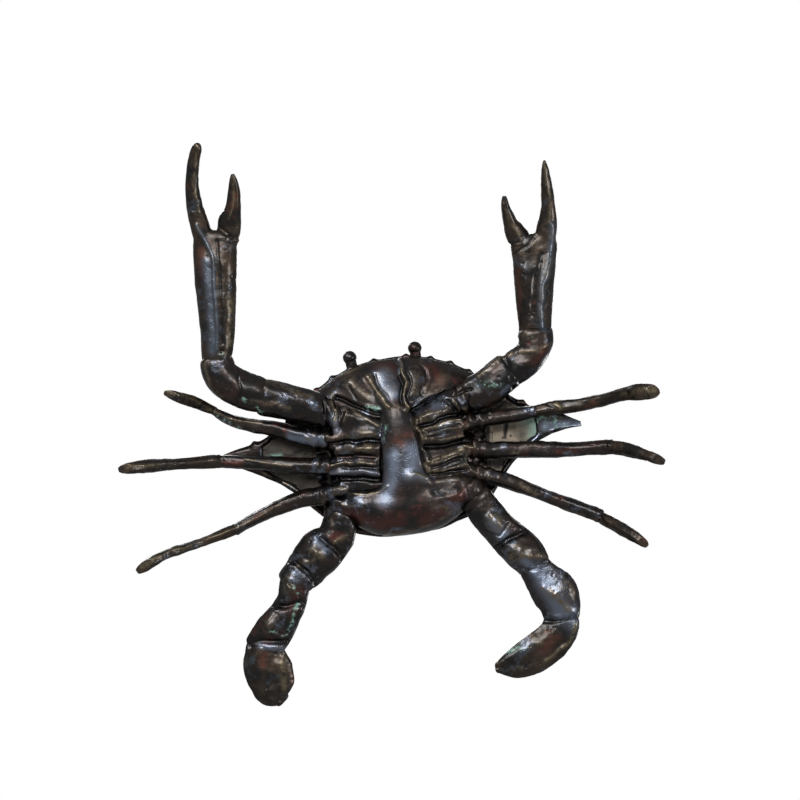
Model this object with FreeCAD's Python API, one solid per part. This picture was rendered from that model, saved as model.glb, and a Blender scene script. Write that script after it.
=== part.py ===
import FreeCAD, Part
import math
import os

# Life-size swimming crab, cast in bronze as separate pieces that are brazed together.
# It stands on its six walking legs, with the back of the shell up.
# Millimetres. +Z is up, the crab looks along -Y, and its own left side is +X.

# Shell and belly
shell_span = 155.0
shell_length = 74.0
shell_crown = 21.0
shell_wall = 2.4
rim_height = 27.0
trunk_length = 74.0
tooth_reach = 1.9
tooth_root_diameter = 4.8
tooth_tip_diameter = 1.6
belly_width = 54.0
belly_height = 12.6
rib_relief = 1.8
fan_neck_diameter = 7.0
fan_depth = 5.0
fan_neck_height = 13.2
tail_height = 10.4
tail_edge_drop = 3.0
stem_width = 17.0
stem_side = 2.2
clay_recess = 1.4

# Eyes
eye_diameter = 5.9
eye_stalk_diameter = 3.8
eye_reach = 2.4
eye_lift = 3.4

# Limbs: heights, thicknesses and reaches seen from above
hip_drop = 6.5
walking_leg_thickness = 6.0
foot_thickness = 2.6
foot_filing = 0.9
front_left_reach = 77.2
front_right_reach = 67.6
middle_left_reach = 77.3
middle_right_reach = 85.4
rear_left_reach = 74.5
rear_right_reach = 85.1
swim_leg_thickness = 16.0
swim_left_reach = 71.9
swim_right_reach = 81.6
arm_thickness = 14.5
arm_left_reach = 43.3
arm_right_reach = 53.3
palm_width = 17.0
palm_depth = 10.5
palm_left_length = 37.0
palm_right_length = 50.5
long_finger_left = 33.2
long_finger_right = 38.8
short_finger_left = 20.2
short_finger_right = 26.2

# Brazed sockets
tenon_length = 4.0
braze_gap = 0.05
boss_length = 6.0
leg_boss_diameter = 8.4
arm_boss_diameter = 12.4
swim_boss_diameter = 13.0

half_span = shell_span / 2
half_length = shell_length / 2
half_trunk = trunk_length / 2
half_belly = belly_width / 2
hip_height = rim_height - hip_drop
tail_edge_height = rim_height - tail_edge_drop
arm_hip_gap_share = 0.935
arm_hip_gap = arm_hip_gap_share * (arm_thickness + walking_leg_thickness) / 2
foot_height = foot_thickness / 2 - foot_filing

LEFT = 1
RIGHT = -1
SIDE_NAMES = {LEFT: "left", RIGHT: "right"}
UP = FreeCAD.Vector(0, 0, 1)

# The shell from the right spine to the left one: place across in half spans,
# front edge and rear edge in half lengths, and rise in crown heights.
shell_shares = [
    (-1.00, -0.15, -0.09, 0.04),
    (-0.90, -0.20, 0.00, 0.12),
    (-0.75, -0.27, 0.17, 0.25),
    (-0.60, -0.43, 0.40, 0.46),
    (-0.43, -0.72, 0.80, 0.76),
    (-0.22, -0.94, 1.00, 0.95),
    (0.00, -1.00, 1.04, 1.00),
    (0.22, -0.94, 1.00, 0.95),
    (0.43, -0.72, 0.80, 0.76),
    (0.60, -0.43, 0.40, 0.46),
    (0.75, -0.21, 0.20, 0.25),
    (0.90, -0.08, 0.11, 0.12),
    (1.00, 0.04, 0.10, 0.04),
]
cavity_share = 0.80
tooth_shares = [0.10, 0.15, 0.20, 0.25, 0.30, 0.35, 0.40, 0.46, 0.54, 0.60, 0.65, 0.70, 0.75, 0.80, 0.85, 0.90]
clay_start_share = 0.46

# The belly from right to left: place across in half belly widths, front and
# rear edge in half trunk lengths, and how far its ribs stand out, in reliefs.
belly_shares = [
    (-1.00, -0.58, 0.56, 0.9),
    (-0.78, -0.56, 0.58, 1.0),
    (-0.46, -0.46, 0.56, 0.8),
    (-0.20, -0.38, 0.54, 0.1),
    (0.20, -0.38, 0.54, 0.1),
    (0.46, -0.46, 0.56, 0.8),
    (0.78, -0.56, 0.58, 1.0),
    (1.00, -0.58, 0.56, 0.9),
]
# Crests and grooves of the ribs from front to rear: place, and groove depth.
rib_shares = [(0.10, 0.0), (0.22, 1.0), (0.36, 0.0), (0.48, 1.0), (0.61, 0.0), (0.73, 1.0), (0.86, 0.0)]
belly_side_share = 0.55

# Lobes of the mouth fan: heading from straight ahead in degrees, and width at
# the rim in half trunk lengths.
lobe_headings = [-56, -31, -8, 20, 52]
lobe_width_shares = [0.46, 0.34, 0.44, 0.36, 0.50]
neck_share = -0.34

# Rear bowl of the tail from right to left: place across, front and rear edge in
# half trunk lengths, and depth.
bowl_shares = [
    (-1.04, 0.50, 0.62, 0.40),
    (-0.90, 0.42, 0.78, 0.76),
    (-0.58, 0.36, 0.96, 0.95),
    (0.00, 0.32, 1.04, 1.00),
    (0.58, 0.36, 0.96, 0.95),
    (0.90, 0.42, 0.78, 0.76),
    (1.04, 0.50, 0.62, 0.40),
]
# Stem of the tail from front to rear: place, width and depth.
stem_shares = [(-0.34, 0.84, 0.40), (-0.10, 0.94, 0.80), (0.16, 1.00, 1.00), (0.42, 1.20, 1.00), (0.62, 1.60, 1.00)]

eye_place_shares = {LEFT: (0.155, -0.90), RIGHT: (-0.195, -0.90)}
eye_headings = {LEFT: -88, RIGHT: -96}

# Outlines of a limb's sections: places round the section in half widths and
# half depths. The keeled one has the two ridges along the underside of a palm.
ROUND_STEP = 45
round_shares = [(math.cos(math.radians(a)), math.sin(math.radians(a))) for a in range(0, 360, ROUND_STEP)]
keeled_shares = [(1.00, 0.00), (0.78, 0.62), (0.30, 0.92), (-0.30, 0.92), (-0.80, 0.60), (-1.00, 0.00),
                 (-0.72, -0.62), (-0.28, -0.96), (0.02, -0.72), (0.34, -0.88), (0.78, -0.58)]

# A cubic curve through a ring of poles runs inside them, so they are spread by this much.
pole_spread = 6 / (4 + 2 * math.cos(math.radians(ROUND_STEP)))

# Rows of every limb piece, from the body outwards: place along and aside in
# reaches, height between foot and hip, and width and depth in thicknesses.
# The last row of a piece and the first row of the next share one place.
front_left_shares = [
    ("thigh", [(0.00, 0.000, 1.00, 1.20, 1.15), (0.10, 0.000, 1.02, 1.12, 1.10), (0.22, 0.002, 1.05, 1.10, 1.05),
               (0.31, 0.004, 1.07, 0.94, 0.95), (0.36, 0.002, 1.08, 0.84, 0.88)]),
    ("shin", [(0.36, 0.002, 1.08, 0.66, 0.70), (0.42, 0.000, 1.09, 0.84, 0.84), (0.48, 0.001, 1.10, 0.90, 0.88),
              (0.56, 0.006, 1.08, 1.04, 0.92), (0.66, 0.011, 1.00, 0.86, 0.84), (0.78, -0.002, 0.74, 0.85, 0.76),
              (0.85, -0.010, 0.48, 0.98, 0.68), (0.91, -0.012, 0.20, 1.05, 0.56), (0.96, -0.005, 0.00, 0.92, 0.46),
              (0.99, 0.000, 0.00, 0.55, 0.36), (1.00, 0.000, 0.00, 0.22, 0.20)]),
]
front_right_shares = [
    ("thigh", [(0.00, 0.000, 1.00, 1.25, 1.15), (0.15, -0.030, 1.03, 1.28, 1.15), (0.25, -0.028, 1.05, 1.16, 1.08),
               (0.35, -0.030, 1.07, 1.04, 1.00), (0.47, -0.052, 1.06, 0.94, 0.92), (0.57, -0.060, 1.02, 0.86, 0.86),
               (0.66, -0.045, 0.94, 0.72, 0.80), (0.72, -0.027, 0.85, 0.64, 0.74)]),
    ("shin", [(0.72, -0.027, 0.85, 0.50, 0.60), (0.78, -0.018, 0.68, 0.62, 0.60), (0.83, -0.010, 0.48, 0.72, 0.55),
              (0.88, -0.006, 0.26, 0.70, 0.48), (0.93, -0.003, 0.04, 0.58, 0.44), (0.97, 0.000, 0.00, 0.38, 0.40),
              (1.00, 0.000, 0.00, 0.16, 0.20)]),
]
middle_left_shares = [
    ("thigh", [(0.00, 0.000, 1.00, 1.25, 1.15), (0.14, 0.005, 1.03, 1.26, 1.15), (0.25, -0.008, 1.06, 1.12, 1.05),
               (0.37, -0.020, 1.09, 1.22, 1.10), (0.50, -0.022, 1.10, 1.05, 1.00), (0.60, -0.034, 1.07, 1.02, 0.95),
               (0.70, -0.050, 0.97, 1.10, 0.95), (0.75, -0.056, 0.88, 1.08, 0.92)]),
    ("shin", [(0.75, -0.056, 0.88, 0.86, 0.76), (0.80, -0.054, 0.72, 0.98, 0.78), (0.86, -0.044, 0.44, 0.94, 0.68),
              (0.91, -0.030, 0.18, 0.85, 0.58), (0.95, -0.016, 0.00, 0.74, 0.48), (0.98, -0.005, 0.00, 0.52, 0.42),
              (1.00, 0.000, 0.00, 0.24, 0.22)]),
]
middle_right_shares = [
    ("thigh", [(0.00, 0.000, 1.00, 1.15, 1.10), (0.14, 0.001, 1.03, 1.12, 1.08), (0.32, 0.018, 1.06, 1.04, 1.00),
               (0.45, 0.023, 1.08, 0.92, 0.90), (0.51, 0.026, 1.08, 1.00, 0.95), (0.55, 0.027, 1.07, 1.02, 0.95)]),
    ("shin", [(0.55, 0.027, 1.07, 0.82, 0.78), (0.67, 0.018, 0.95, 0.84, 0.80), (0.80, 0.016, 0.60, 0.90, 0.75),
              (0.87, 0.014, 0.32, 0.90, 0.66), (0.92, 0.011, 0.10, 0.86, 0.54), (0.96, 0.007, 0.00, 0.74, 0.44),
              (0.99, 0.002, 0.00, 0.50, 0.34), (1.00, 0.000, 0.00, 0.24, 0.20)]),
]
rear_left_shares = [
    ("thigh", [(0.00, 0.000, 1.00, 1.20, 1.15), (0.15, -0.028, 1.04, 1.15, 1.10), (0.26, -0.035, 1.07, 1.04, 1.00),
               (0.44, -0.028, 1.09, 0.86, 0.90), (0.54, -0.035, 1.06, 1.03, 0.95), (0.64, -0.043, 0.98, 0.95, 0.90),
               (0.73, -0.045, 0.84, 0.92, 0.85)]),
    ("shin", [(0.73, -0.045, 0.84, 0.72, 0.68), (0.81, -0.036, 0.58, 0.86, 0.75), (0.87, -0.031, 0.34, 0.82, 0.68),
              (0.92, -0.022, 0.12, 0.76, 0.58), (0.96, -0.011, 0.00, 0.68, 0.48), (0.99, -0.003, 0.00, 0.48, 0.40),
              (1.00, 0.000, 0.00, 0.26, 0.24)]),
]
rear_right_shares = [
    ("thigh", [(0.00, 0.000, 1.00, 1.20, 1.15), (0.09, 0.012, 1.02, 1.34, 1.20), (0.18, 0.032, 1.05, 1.22, 1.10),
               (0.34, 0.030, 1.08, 0.88, 0.90), (0.44, 0.018, 1.07, 0.85, 0.88), (0.52, 0.006, 1.04, 0.86, 0.86)]),
    ("shin", [(0.52, 0.006, 1.04, 0.70, 0.70), (0.66, 0.005, 0.88, 0.68, 0.66), (0.75, 0.014, 0.64, 0.62, 0.62),
              (0.83, 0.024, 0.36, 0.60, 0.56), (0.89, 0.022, 0.12, 0.64, 0.50), (0.94, 0.012, 0.00, 0.70, 0.44),
              (0.98, 0.004, 0.00, 0.56, 0.38), (1.00, 0.000, 0.00, 0.30, 0.24)]),
]
swim_left_shares = [
    ("thigh", [(0.00, 0.000, 1.00, 0.84, 0.60), (0.08, -0.041, 1.00, 0.93, 0.64), (0.17, -0.090, 0.99, 0.95, 0.64),
               (0.22, -0.130, 0.98, 0.92, 0.62), (0.29, -0.190, 0.97, 1.01, 0.64), (0.37, -0.256, 0.95, 1.10, 0.60),
               (0.44, -0.284, 0.93, 0.94, 0.52)]),
    ("shank", [(0.44, -0.284, 0.93, 0.82, 0.44), (0.48, -0.305, 0.92, 0.90, 0.47), (0.53, -0.332, 0.91, 1.02, 0.48),
               (0.59, -0.382, 0.88, 1.24, 0.44), (0.66, -0.407, 0.86, 1.18, 0.38), (0.71, -0.411, 0.84, 1.04, 0.34),
               (0.75, -0.409, 0.83, 0.98, 0.32)]),
    ("paddle", [(0.75, -0.409, 0.83, 0.90, 0.24), (0.81, -0.408, 0.82, 1.00, 0.27), (0.885, -0.362, 0.79, 1.06, 0.28),
                (0.95, -0.238, 0.76, 1.02, 0.26), (0.985, -0.142, 0.74, 0.88, 0.22), (1.00, -0.062, 0.72, 0.62, 0.16),
                (1.00, 0.000, 0.72, 0.20, 0.10)]),
]
swim_right_shares = [
    ("thigh", [(0.00, 0.000, 1.00, 0.88, 0.60), (0.04, -0.003, 1.00, 0.97, 0.64), (0.11, -0.016, 0.99, 1.00, 0.64),
               (0.17, 0.015, 0.98, 1.12, 0.66), (0.23, 0.054, 0.97, 1.26, 0.66), (0.30, 0.087, 0.95, 1.10, 0.60),
               (0.36, 0.112, 0.94, 1.02, 0.54), (0.40, 0.129, 0.93, 0.96, 0.50)]),
    ("shank", [(0.40, 0.129, 0.93, 0.82, 0.44), (0.45, 0.122, 0.92, 0.82, 0.45), (0.50, 0.112, 0.91, 0.76, 0.44),
               (0.58, 0.126, 0.88, 0.86, 0.44), (0.64, 0.146, 0.86, 0.98, 0.42), (0.69, 0.172, 0.85, 1.08, 0.38),
               (0.75, 0.183, 0.83, 1.02, 0.32)]),
    ("paddle", [(0.75, 0.183, 0.83, 0.94, 0.24), (0.80, 0.168, 0.81, 1.10, 0.27), (0.86, 0.138, 0.79, 1.27, 0.28),
                (0.925, 0.090, 0.77, 1.25, 0.25), (0.965, 0.042, 0.75, 0.96, 0.20), (0.99, 0.010, 0.73, 0.52, 0.14),
                (1.00, 0.000, 0.72, 0.16, 0.10)]),
]
arm_left_shares = [
    ("arm", [(0.00, 0.000, 1.00, 0.76, 0.66), (0.07, 0.026, 0.97, 0.90, 0.72), (0.16, 0.058, 0.94, 1.02, 0.76),
             (0.26, 0.082, 0.91, 1.05, 0.78), (0.36, 0.094, 0.89, 1.08, 0.80), (0.46, 0.093, 0.87, 1.10, 0.80),
             (0.56, 0.092, 0.86, 1.08, 0.80)]),
    ("wrist", [(0.56, 0.092, 0.86, 0.96, 0.72), (0.65, 0.103, 0.85, 1.04, 0.80), (0.74, 0.110, 0.84, 1.00, 0.82),
               (0.84, 0.102, 0.82, 0.94, 0.80), (0.92, 0.066, 0.80, 0.98, 0.76), (0.97, 0.022, 0.79, 1.06, 0.72),
               (1.00, -0.030, 0.78, 1.04, 0.68)]),
]
arm_right_shares = [
    ("arm", [(0.00, 0.000, 1.00, 0.76, 0.66), (0.07, -0.006, 0.97, 0.90, 0.72), (0.15, -0.014, 0.94, 1.00, 0.76),
             (0.26, -0.034, 0.91, 1.01, 0.78), (0.37, -0.060, 0.89, 1.02, 0.80), (0.46, -0.081, 0.87, 1.06, 0.80),
             (0.54, -0.100, 0.86, 1.07, 0.80)]),
    ("wrist", [(0.54, -0.100, 0.86, 0.94, 0.72), (0.62, -0.112, 0.85, 1.06, 0.80), (0.70, -0.126, 0.84, 1.12, 0.84),
               (0.78, -0.128, 0.83, 1.10, 0.84), (0.86, -0.118, 0.82, 1.04, 0.82), (0.93, -0.090, 0.80, 0.94, 0.78),
               (0.97, -0.050, 0.79, 0.86, 0.72), (1.00, 0.000, 0.78, 0.80, 0.68)]),
]
palm_left_shares = [
    ("palm", [(0.00, 0.00, 0.78, 0.80, 0.84), (0.10, 0.00, 0.77, 0.78, 0.86), (0.24, -0.01, 0.76, 0.86, 0.92),
              (0.42, -0.01, 0.74, 0.96, 1.00), (0.62, 0.00, 0.71, 0.98, 1.00), (0.80, 0.00, 0.68, 1.04, 0.92),
              (1.00, 0.00, 0.64, 1.14, 0.74)]),
]
palm_right_shares = [
    ("palm", [(0.00, 0.00, 0.78, 0.70, 0.84), (0.06, 0.00, 0.77, 0.78, 0.86), (0.24, 0.02, 0.75, 0.84, 0.92),
              (0.45, 0.01, 0.72, 0.94, 1.00), (0.66, 0.00, 0.69, 1.02, 1.00), (0.84, 0.00, 0.66, 1.06, 0.90),
              (1.00, 0.00, 0.63, 1.06, 0.74)]),
]
long_finger_left_shares = [
    ("finger", [(0.00, 0.000, 0.64, 0.52, 0.66), (0.14, 0.012, 0.60, 0.56, 0.62), (0.28, 0.040, 0.53, 0.48, 0.56),
                (0.45, 0.045, 0.43, 0.38, 0.48), (0.62, 0.034, 0.33, 0.31, 0.40), (0.82, 0.016, 0.21, 0.21, 0.30),
                (0.95, 0.004, 0.13, 0.13, 0.20), (1.00, 0.000, 0.10, 0.05, 0.08)]),
]
long_finger_right_shares = [
    ("finger", [(0.00, 0.000, 0.63, 0.50, 0.66), (0.17, -0.034, 0.58, 0.49, 0.62), (0.33, -0.080, 0.51, 0.42, 0.54),
                (0.54, -0.104, 0.40, 0.36, 0.46), (0.74, -0.086, 0.28, 0.30, 0.38), (0.92, -0.034, 0.16, 0.23, 0.28),
                (0.98, -0.006, 0.12, 0.14, 0.18), (1.00, 0.000, 0.10, 0.05, 0.08)]),
]
short_finger_left_shares = [
    ("finger", [(0.00, 0.000, 0.64, 0.52, 0.62), (0.12, -0.010, 0.61, 0.60, 0.60), (0.28, -0.050, 0.57, 0.48, 0.54),
                (0.50, -0.070, 0.48, 0.32, 0.44), (0.72, -0.066, 0.39, 0.21, 0.34), (0.90, -0.040, 0.31, 0.12, 0.22),
                (1.00, 0.000, 0.27, 0.04, 0.08)]),
]
short_finger_right_shares = [
    ("finger", [(0.00, 0.000, 0.63, 0.48, 0.62), (0.10, 0.004, 0.60, 0.52, 0.60), (0.25, 0.020, 0.55, 0.46, 0.54),
                (0.44, 0.036, 0.46, 0.38, 0.46), (0.62, 0.046, 0.38, 0.31, 0.38), (0.82, 0.042, 0.29, 0.21, 0.28),
                (0.95, 0.014, 0.23, 0.10, 0.16), (1.00, 0.000, 0.21, 0.04, 0.08)]),
]
long_finger_offset_share = 0.27
short_finger_offset_share = 0.30

# Where each limb leaves the body, in half belly widths and half trunk lengths, and
# where it heads, in degrees from +X seen from above. An arm leaves the body one gap
# ahead of the place in its row, which is that of the front leg.
walking_legs = [
    ("front_leg_left", (1.11, -0.146), -1, front_left_reach, front_left_shares),
    ("front_leg_right", (-1.11, -0.173), -155, front_right_reach, front_right_shares),
    ("middle_leg_left", (1.11, 0.162), 12, middle_left_reach, middle_left_shares),
    ("middle_leg_right", (-1.11, 0.135), -172, middle_right_reach, middle_right_shares),
    ("rear_leg_left", (1.11, 0.446), 31, rear_left_reach, rear_left_shares),
    ("rear_leg_right", (-1.11, 0.432), 167, rear_right_reach, rear_right_shares),
]
swim_legs = [
    ("swim_leg_left", (1.04, 0.70), 91, swim_left_reach, swim_left_shares),
    ("swim_leg_right", (-1.04, 0.68), 115, swim_right_reach, swim_right_shares),
]
arms = {
    LEFT: ((0.96, -0.146), -30, arm_left_reach, arm_left_shares),
    RIGHT: ((-0.96, -0.173), -146, arm_right_reach, arm_right_shares),
}
claws = {
    LEFT: (-83, palm_left_length, palm_left_shares,
           (-84, long_finger_left, long_finger_left_shares),
           (-104, short_finger_left, short_finger_left_shares)),
    RIGHT: (-82, palm_right_length, palm_right_shares,
            (-83, long_finger_right, long_finger_right_shares),
            (-75, short_finger_right, short_finger_right_shares)),
}


def save(name, shape):
    """Write one piece after checking that it is one sound solid."""
    if not shape.isValid() or len(shape.Solids) != 1:
        print("CHECK", name, "valid", shape.isValid(), "solids", len(shape.Solids))
    shape.Solids[0].exportStep("parts/" + name + ".step")


def rod(start, direction, diameter, length):
    """Round bar from a place along a direction."""
    return Part.makeCylinder(diameter / 2, length, start, direction)


def arched(start, crown, end, base):
    """Closed section: an arc through three places, upright sides and a level base."""
    arc = Part.Arc(start, crown, end).toShape()
    if math.isclose(start.z, base):
        return Part.Wire([arc, Part.makeLine(end, start)])
    low_end = FreeCAD.Vector(end.x, end.y, base)
    low_start = FreeCAD.Vector(start.x, start.y, base)
    return Part.Wire([arc, Part.makeLine(end, low_end), Part.makeLine(low_end, low_start),
                      Part.makeLine(low_start, start)])


def shell_places():
    """Stations of the shell in millimetres: x, front y, rear y and rise."""
    return [(across * half_span, front * half_length, rear * half_length, rise * shell_crown)
            for across, front, rear, rise in shell_shares]


def make_cavity():
    """Hollow underside of the shell, one wall inside it, open below the rim."""
    wires = []
    for x, front, rear, rise in shell_places():
        if abs(x) > cavity_share * half_span:
            continue
        front_edge = FreeCAD.Vector(x, front + shell_wall, rim_height)
        rear_edge = FreeCAD.Vector(x, rear - shell_wall, rim_height)
        crown = FreeCAD.Vector(x, (front + rear) / 2, rim_height + rise - shell_wall)
        wires.append(arched(front_edge, crown, rear_edge, rim_height - shell_wall))
    return Part.makeLoft(wires, True)


def make_teeth():
    """Row of short cones along the front rim, on both sides of the brow."""
    margin = Part.BSplineCurve()
    margin.interpolate([FreeCAD.Vector(x, front, rim_height + tooth_root_diameter / 2)
                        for x, front, rear, rise in shell_places()])
    teeth = []
    for share in tooth_shares:
        parameter = margin.FirstParameter + share * (margin.LastParameter - margin.FirstParameter)
        outward = margin.tangent(parameter)[0].cross(UP)
        root = margin.value(parameter) - outward * tooth_root_diameter / 2
        teeth.append(Part.makeCone(tooth_root_diameter / 2, tooth_tip_diameter / 2,
                                   tooth_reach + tooth_root_diameter / 2, root, outward))
    return teeth


def make_shell(cavity):
    """Domed shell with its two side spines, hollow underneath."""
    wires = []
    for x, front, rear, rise in shell_places():
        front_edge = FreeCAD.Vector(x, front, rim_height)
        rear_edge = FreeCAD.Vector(x, rear, rim_height)
        crown = FreeCAD.Vector(x, (front + rear) / 2, rim_height + rise)
        wires.append(arched(front_edge, crown, rear_edge, rim_height))
    dome = Part.makeLoft(wires, True)
    return dome.multiFuse(make_teeth()).cut(cavity).removeSplitter()


def make_clay(cavity, side):
    """Casting clay left in the hollow of one wing, recessed above the rim."""
    start = clay_start_share * half_span
    size = half_span - start
    block = Part.makeBox(size, shell_length, shell_crown)
    corner_x = start if side == LEFT else -half_span
    block.translate(FreeCAD.Vector(corner_x, -half_length, rim_height + clay_recess))
    return cavity.common(block)


def make_belly():
    """Belly plate whose ribs run out to the hips, with a socket boss for each limb."""
    wires = []
    for across, front_share, rear_share, relief in belly_shares:
        x = across * half_belly
        front = front_share * half_trunk
        rear = rear_share * half_trunk
        side = belly_height + belly_side_share * (rim_height - belly_height)
        points = [FreeCAD.Vector(x, front, side)]
        for along, groove in rib_shares:
            depth = groove * relief * rib_relief
            points.append(FreeCAD.Vector(x, front + along * (rear - front), belly_height + depth))
        points.append(FreeCAD.Vector(x, rear, side))
        curve = Part.BSplineCurve()
        curve.interpolate(points)
        rear_top = FreeCAD.Vector(x, rear, rim_height)
        front_top = FreeCAD.Vector(x, front, rim_height)
        wires.append(Part.Wire([curve.toShape(), Part.makeLine(points[-1], rear_top),
                                Part.makeLine(rear_top, front_top), Part.makeLine(front_top, points[0])]))
    return Part.makeLoft(wires, True)


def make_fan():
    """Scalloped mouth cover: cones that spread from the neck to the front rim."""
    neck = FreeCAD.Vector(0, neck_share * half_trunk, fan_neck_height + fan_neck_diameter / 2)
    lobes = []
    for heading, width_share in zip(lobe_headings, lobe_width_shares):
        radius = width_share * half_trunk / 2
        turn = math.radians(heading - 90)
        flat = FreeCAD.Vector(math.cos(turn), math.sin(turn), 0)
        rim_place = neck + flat * half_length
        rim_place.z = rim_height - fan_depth + radius
        path = rim_place - neck
        lobes.append(Part.makeCone(fan_neck_diameter / 2, radius, path.Length, neck, path))
    plan = Part.BSplineCurve()
    plan.interpolate([FreeCAD.Vector(x, front, 0) for x, front, rear, rise in shell_places()
                      if abs(x) < cavity_share * half_span])
    ends = [plan.StartPoint, plan.EndPoint]
    outline = Part.Wire([plan.toShape(), Part.makeLine(ends[1], ends[0])])
    room = Part.Face(outline).extrude(FreeCAD.Vector(0, 0, rim_height))
    return lobes[0].multiFuse(lobes[1:]).common(room).removeSplitter()


def make_tail():
    """Folded tail: a narrow stem along the belly that widens to a rear bowl."""
    bowl_wires = []
    for across, front, rear, depth in bowl_shares:
        x = across * half_belly
        front_edge = FreeCAD.Vector(x, front * half_trunk, tail_edge_height)
        rear_edge = FreeCAD.Vector(x, rear * half_trunk, tail_edge_height)
        middle = FreeCAD.Vector(x, (front_edge.y + rear_edge.y) / 2,
                                tail_edge_height - depth * (tail_edge_height - tail_height))
        bowl_wires.append(arched(front_edge, middle, rear_edge, rim_height))
    stem_wires = []
    for along, width, depth in stem_shares:
        y = along * half_trunk
        x = width * stem_width / 2
        low = belly_height - depth * (belly_height - tail_height)
        right_edge = FreeCAD.Vector(-x, y, low + stem_side)
        left_edge = FreeCAD.Vector(x, y, low + stem_side)
        middle = FreeCAD.Vector(0, y, low)
        stem_wires.append(arched(right_edge, middle, left_edge, hip_height))
    return Part.makeLoft(bowl_wires, True).fuse(Part.makeLoft(stem_wires, True)).removeSplitter()


def make_eye(side):
    """Round eye on a short stalk that passes through the front wall of the shell."""
    across, along = eye_place_shares[side]
    turn = math.radians(eye_headings[side])
    outward = FreeCAD.Vector(math.cos(turn), math.sin(turn), 0)
    root = FreeCAD.Vector(across * half_span, along * half_length, rim_height + eye_lift)
    reach = (1 + along) * half_length + eye_reach
    ball = Part.makeSphere(eye_diameter / 2, root + outward * reach)
    stalk = rod(root, outward, eye_stalk_diameter, reach)
    return ball.fuse(stalk).removeSplitter(), rod(root, outward, eye_stalk_diameter + 2 * braze_gap, reach)


def ring(centre, direction, width, depth, outline):
    """Poles round one section of a limb, across its direction, with the width level."""
    across = direction.cross(UP)
    across.normalize()
    rise = across.cross(direction)
    rise.normalize()
    return [centre + across * (u * pole_spread * width / 2) + rise * (v * pole_spread * depth / 2)
            for u, v in outline]


def smooth_tube(rings):
    """Solid with one smooth side held by rings of poles, and a flat face at each end."""
    degree = 3
    around = len(rings[0])
    spans = len(rings) - degree
    surface = Part.BSplineSurface()
    surface.buildFromPolesMultsKnots(rings, [degree + 1] + [1] * (spans - 1) + [degree + 1], [1] * (around + 1),
                                     list(range(spans + 1)), list(range(around + 1)), False, True, degree, degree)
    side = surface.toShape()
    ends = [Part.Face(Part.Wire([edge])) for edge in side.Edges if edge.isClosed()]
    skin = Part.makeShell([side] + ends)
    skin.sewShape()
    return Part.Solid(skin)


def limb_line(root, heading, reach, low, pieces, start_direction):
    """Places of a limb's rows, and the direction of the limb at each of them."""
    turn = math.radians(heading)
    ahead = FreeCAD.Vector(math.cos(turn), math.sin(turn), 0)
    aside = UP.cross(ahead)
    rows = pieces[0][1] + [row for name, piece_rows in pieces[1:] for row in piece_rows[1:]]
    places = []
    for along, sideways, height, width, depth in rows:
        flat = root + (ahead * along + aside * sideways) * reach
        places.append(FreeCAD.Vector(flat.x, flat.y, low + height * (hip_height - low)))
    last = len(places) - 1
    directions = []
    for index in range(last + 1):
        direction = places[min(index + 1, last)] - places[max(index - 1, 0)]
        direction.normalize()
        directions.append(direction)
    if start_direction is not None:
        directions[0] = start_direction
    return places, directions


def tenon(place, direction, row, width, depth, clearance):
    """Round peg of a piece's first row, or with a clearance the bore that takes it."""
    size = min(row[3] * width, row[4] * depth) / 2
    return rod(place, direction * -1, size + 2 * clearance, tenon_length + clearance)


def make_limb(root, heading, reach, pieces, width, depth, low=0, outline=round_shares, start_direction=None):
    """Lofted pieces of one limb, pegged into each other, with the limb's end."""
    places, directions = limb_line(root, heading, reach, low, pieces, start_direction)
    solids = {}
    index = 0
    for number, (name, rows) in enumerate(pieces):
        solid = smooth_tube([ring(places[index + step], directions[index + step], row[3] * width,
                                  row[4] * depth, outline) for step, row in enumerate(rows)])
        solid = solid.fuse(tenon(places[index], directions[index], rows[0], width, depth, 0))
        index += len(rows) - 1
        if number + 1 < len(pieces):
            next_row = pieces[number + 1][1][0]
            solid = solid.cut(tenon(places[index], directions[index], next_row, width, depth, braze_gap))
        solids[name] = solid
    first_bore = tenon(places[0], directions[0], pieces[0][1][0], width, depth, braze_gap)
    return solids, first_bore, places, directions


def hip(shares):
    """Place where a limb leaves the body."""
    return FreeCAD.Vector(shares[0] * half_belly, shares[1] * half_trunk, 0)


def make_boss(place, direction, diameter):
    """Round boss behind a hip, in which the limb's peg sits."""
    return rod(place - direction * boss_length, direction, diameter, boss_length)


def cleared(host, others):
    """Host without the room that others take up, and without loose trimmings."""
    rest = host.cut(others)
    return max(rest.Solids, key=lambda solid: solid.Volume)


def file_foot(solid):
    """Flat filed on the underside of a foot, level with the table."""
    reach = 2 * shell_span
    table = Part.makeBox(2 * reach, 2 * reach, hip_height, FreeCAD.Vector(-reach, -reach, -hip_height))
    return solid.cut(table)


def make_claw(side, wrist_place, wrist_direction):
    """Palm with its fixed long finger, and the short finger pegged beside it."""
    heading, length, palm_rows, long_finger, short_finger = claws[side]
    root = FreeCAD.Vector(wrist_place.x, wrist_place.y, 0)
    palms, wrist_bore, places, directions = make_limb(root, heading, length, palm_rows, palm_width, palm_depth,
                                                      0, keeled_shares, wrist_direction)
    end_direction = directions[-1]
    outward = end_direction.cross(UP) * -side
    outward.normalize()
    base = FreeCAD.Vector(places[-1].x, places[-1].y, 0)
    long_root = base + outward * long_finger_offset_share * palm_width
    short_root = base - outward * short_finger_offset_share * palm_width
    fixed = make_limb(long_root, *long_finger, palm_width, palm_depth, start_direction=end_direction)[0]["finger"]
    moved, bore = make_limb(short_root, *short_finger, palm_width, palm_depth, start_direction=end_direction)[:2]
    palm = palms["palm"].cut(bore).fuse(fixed).removeSplitter()
    return palm, moved["finger"], wrist_bore


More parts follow.
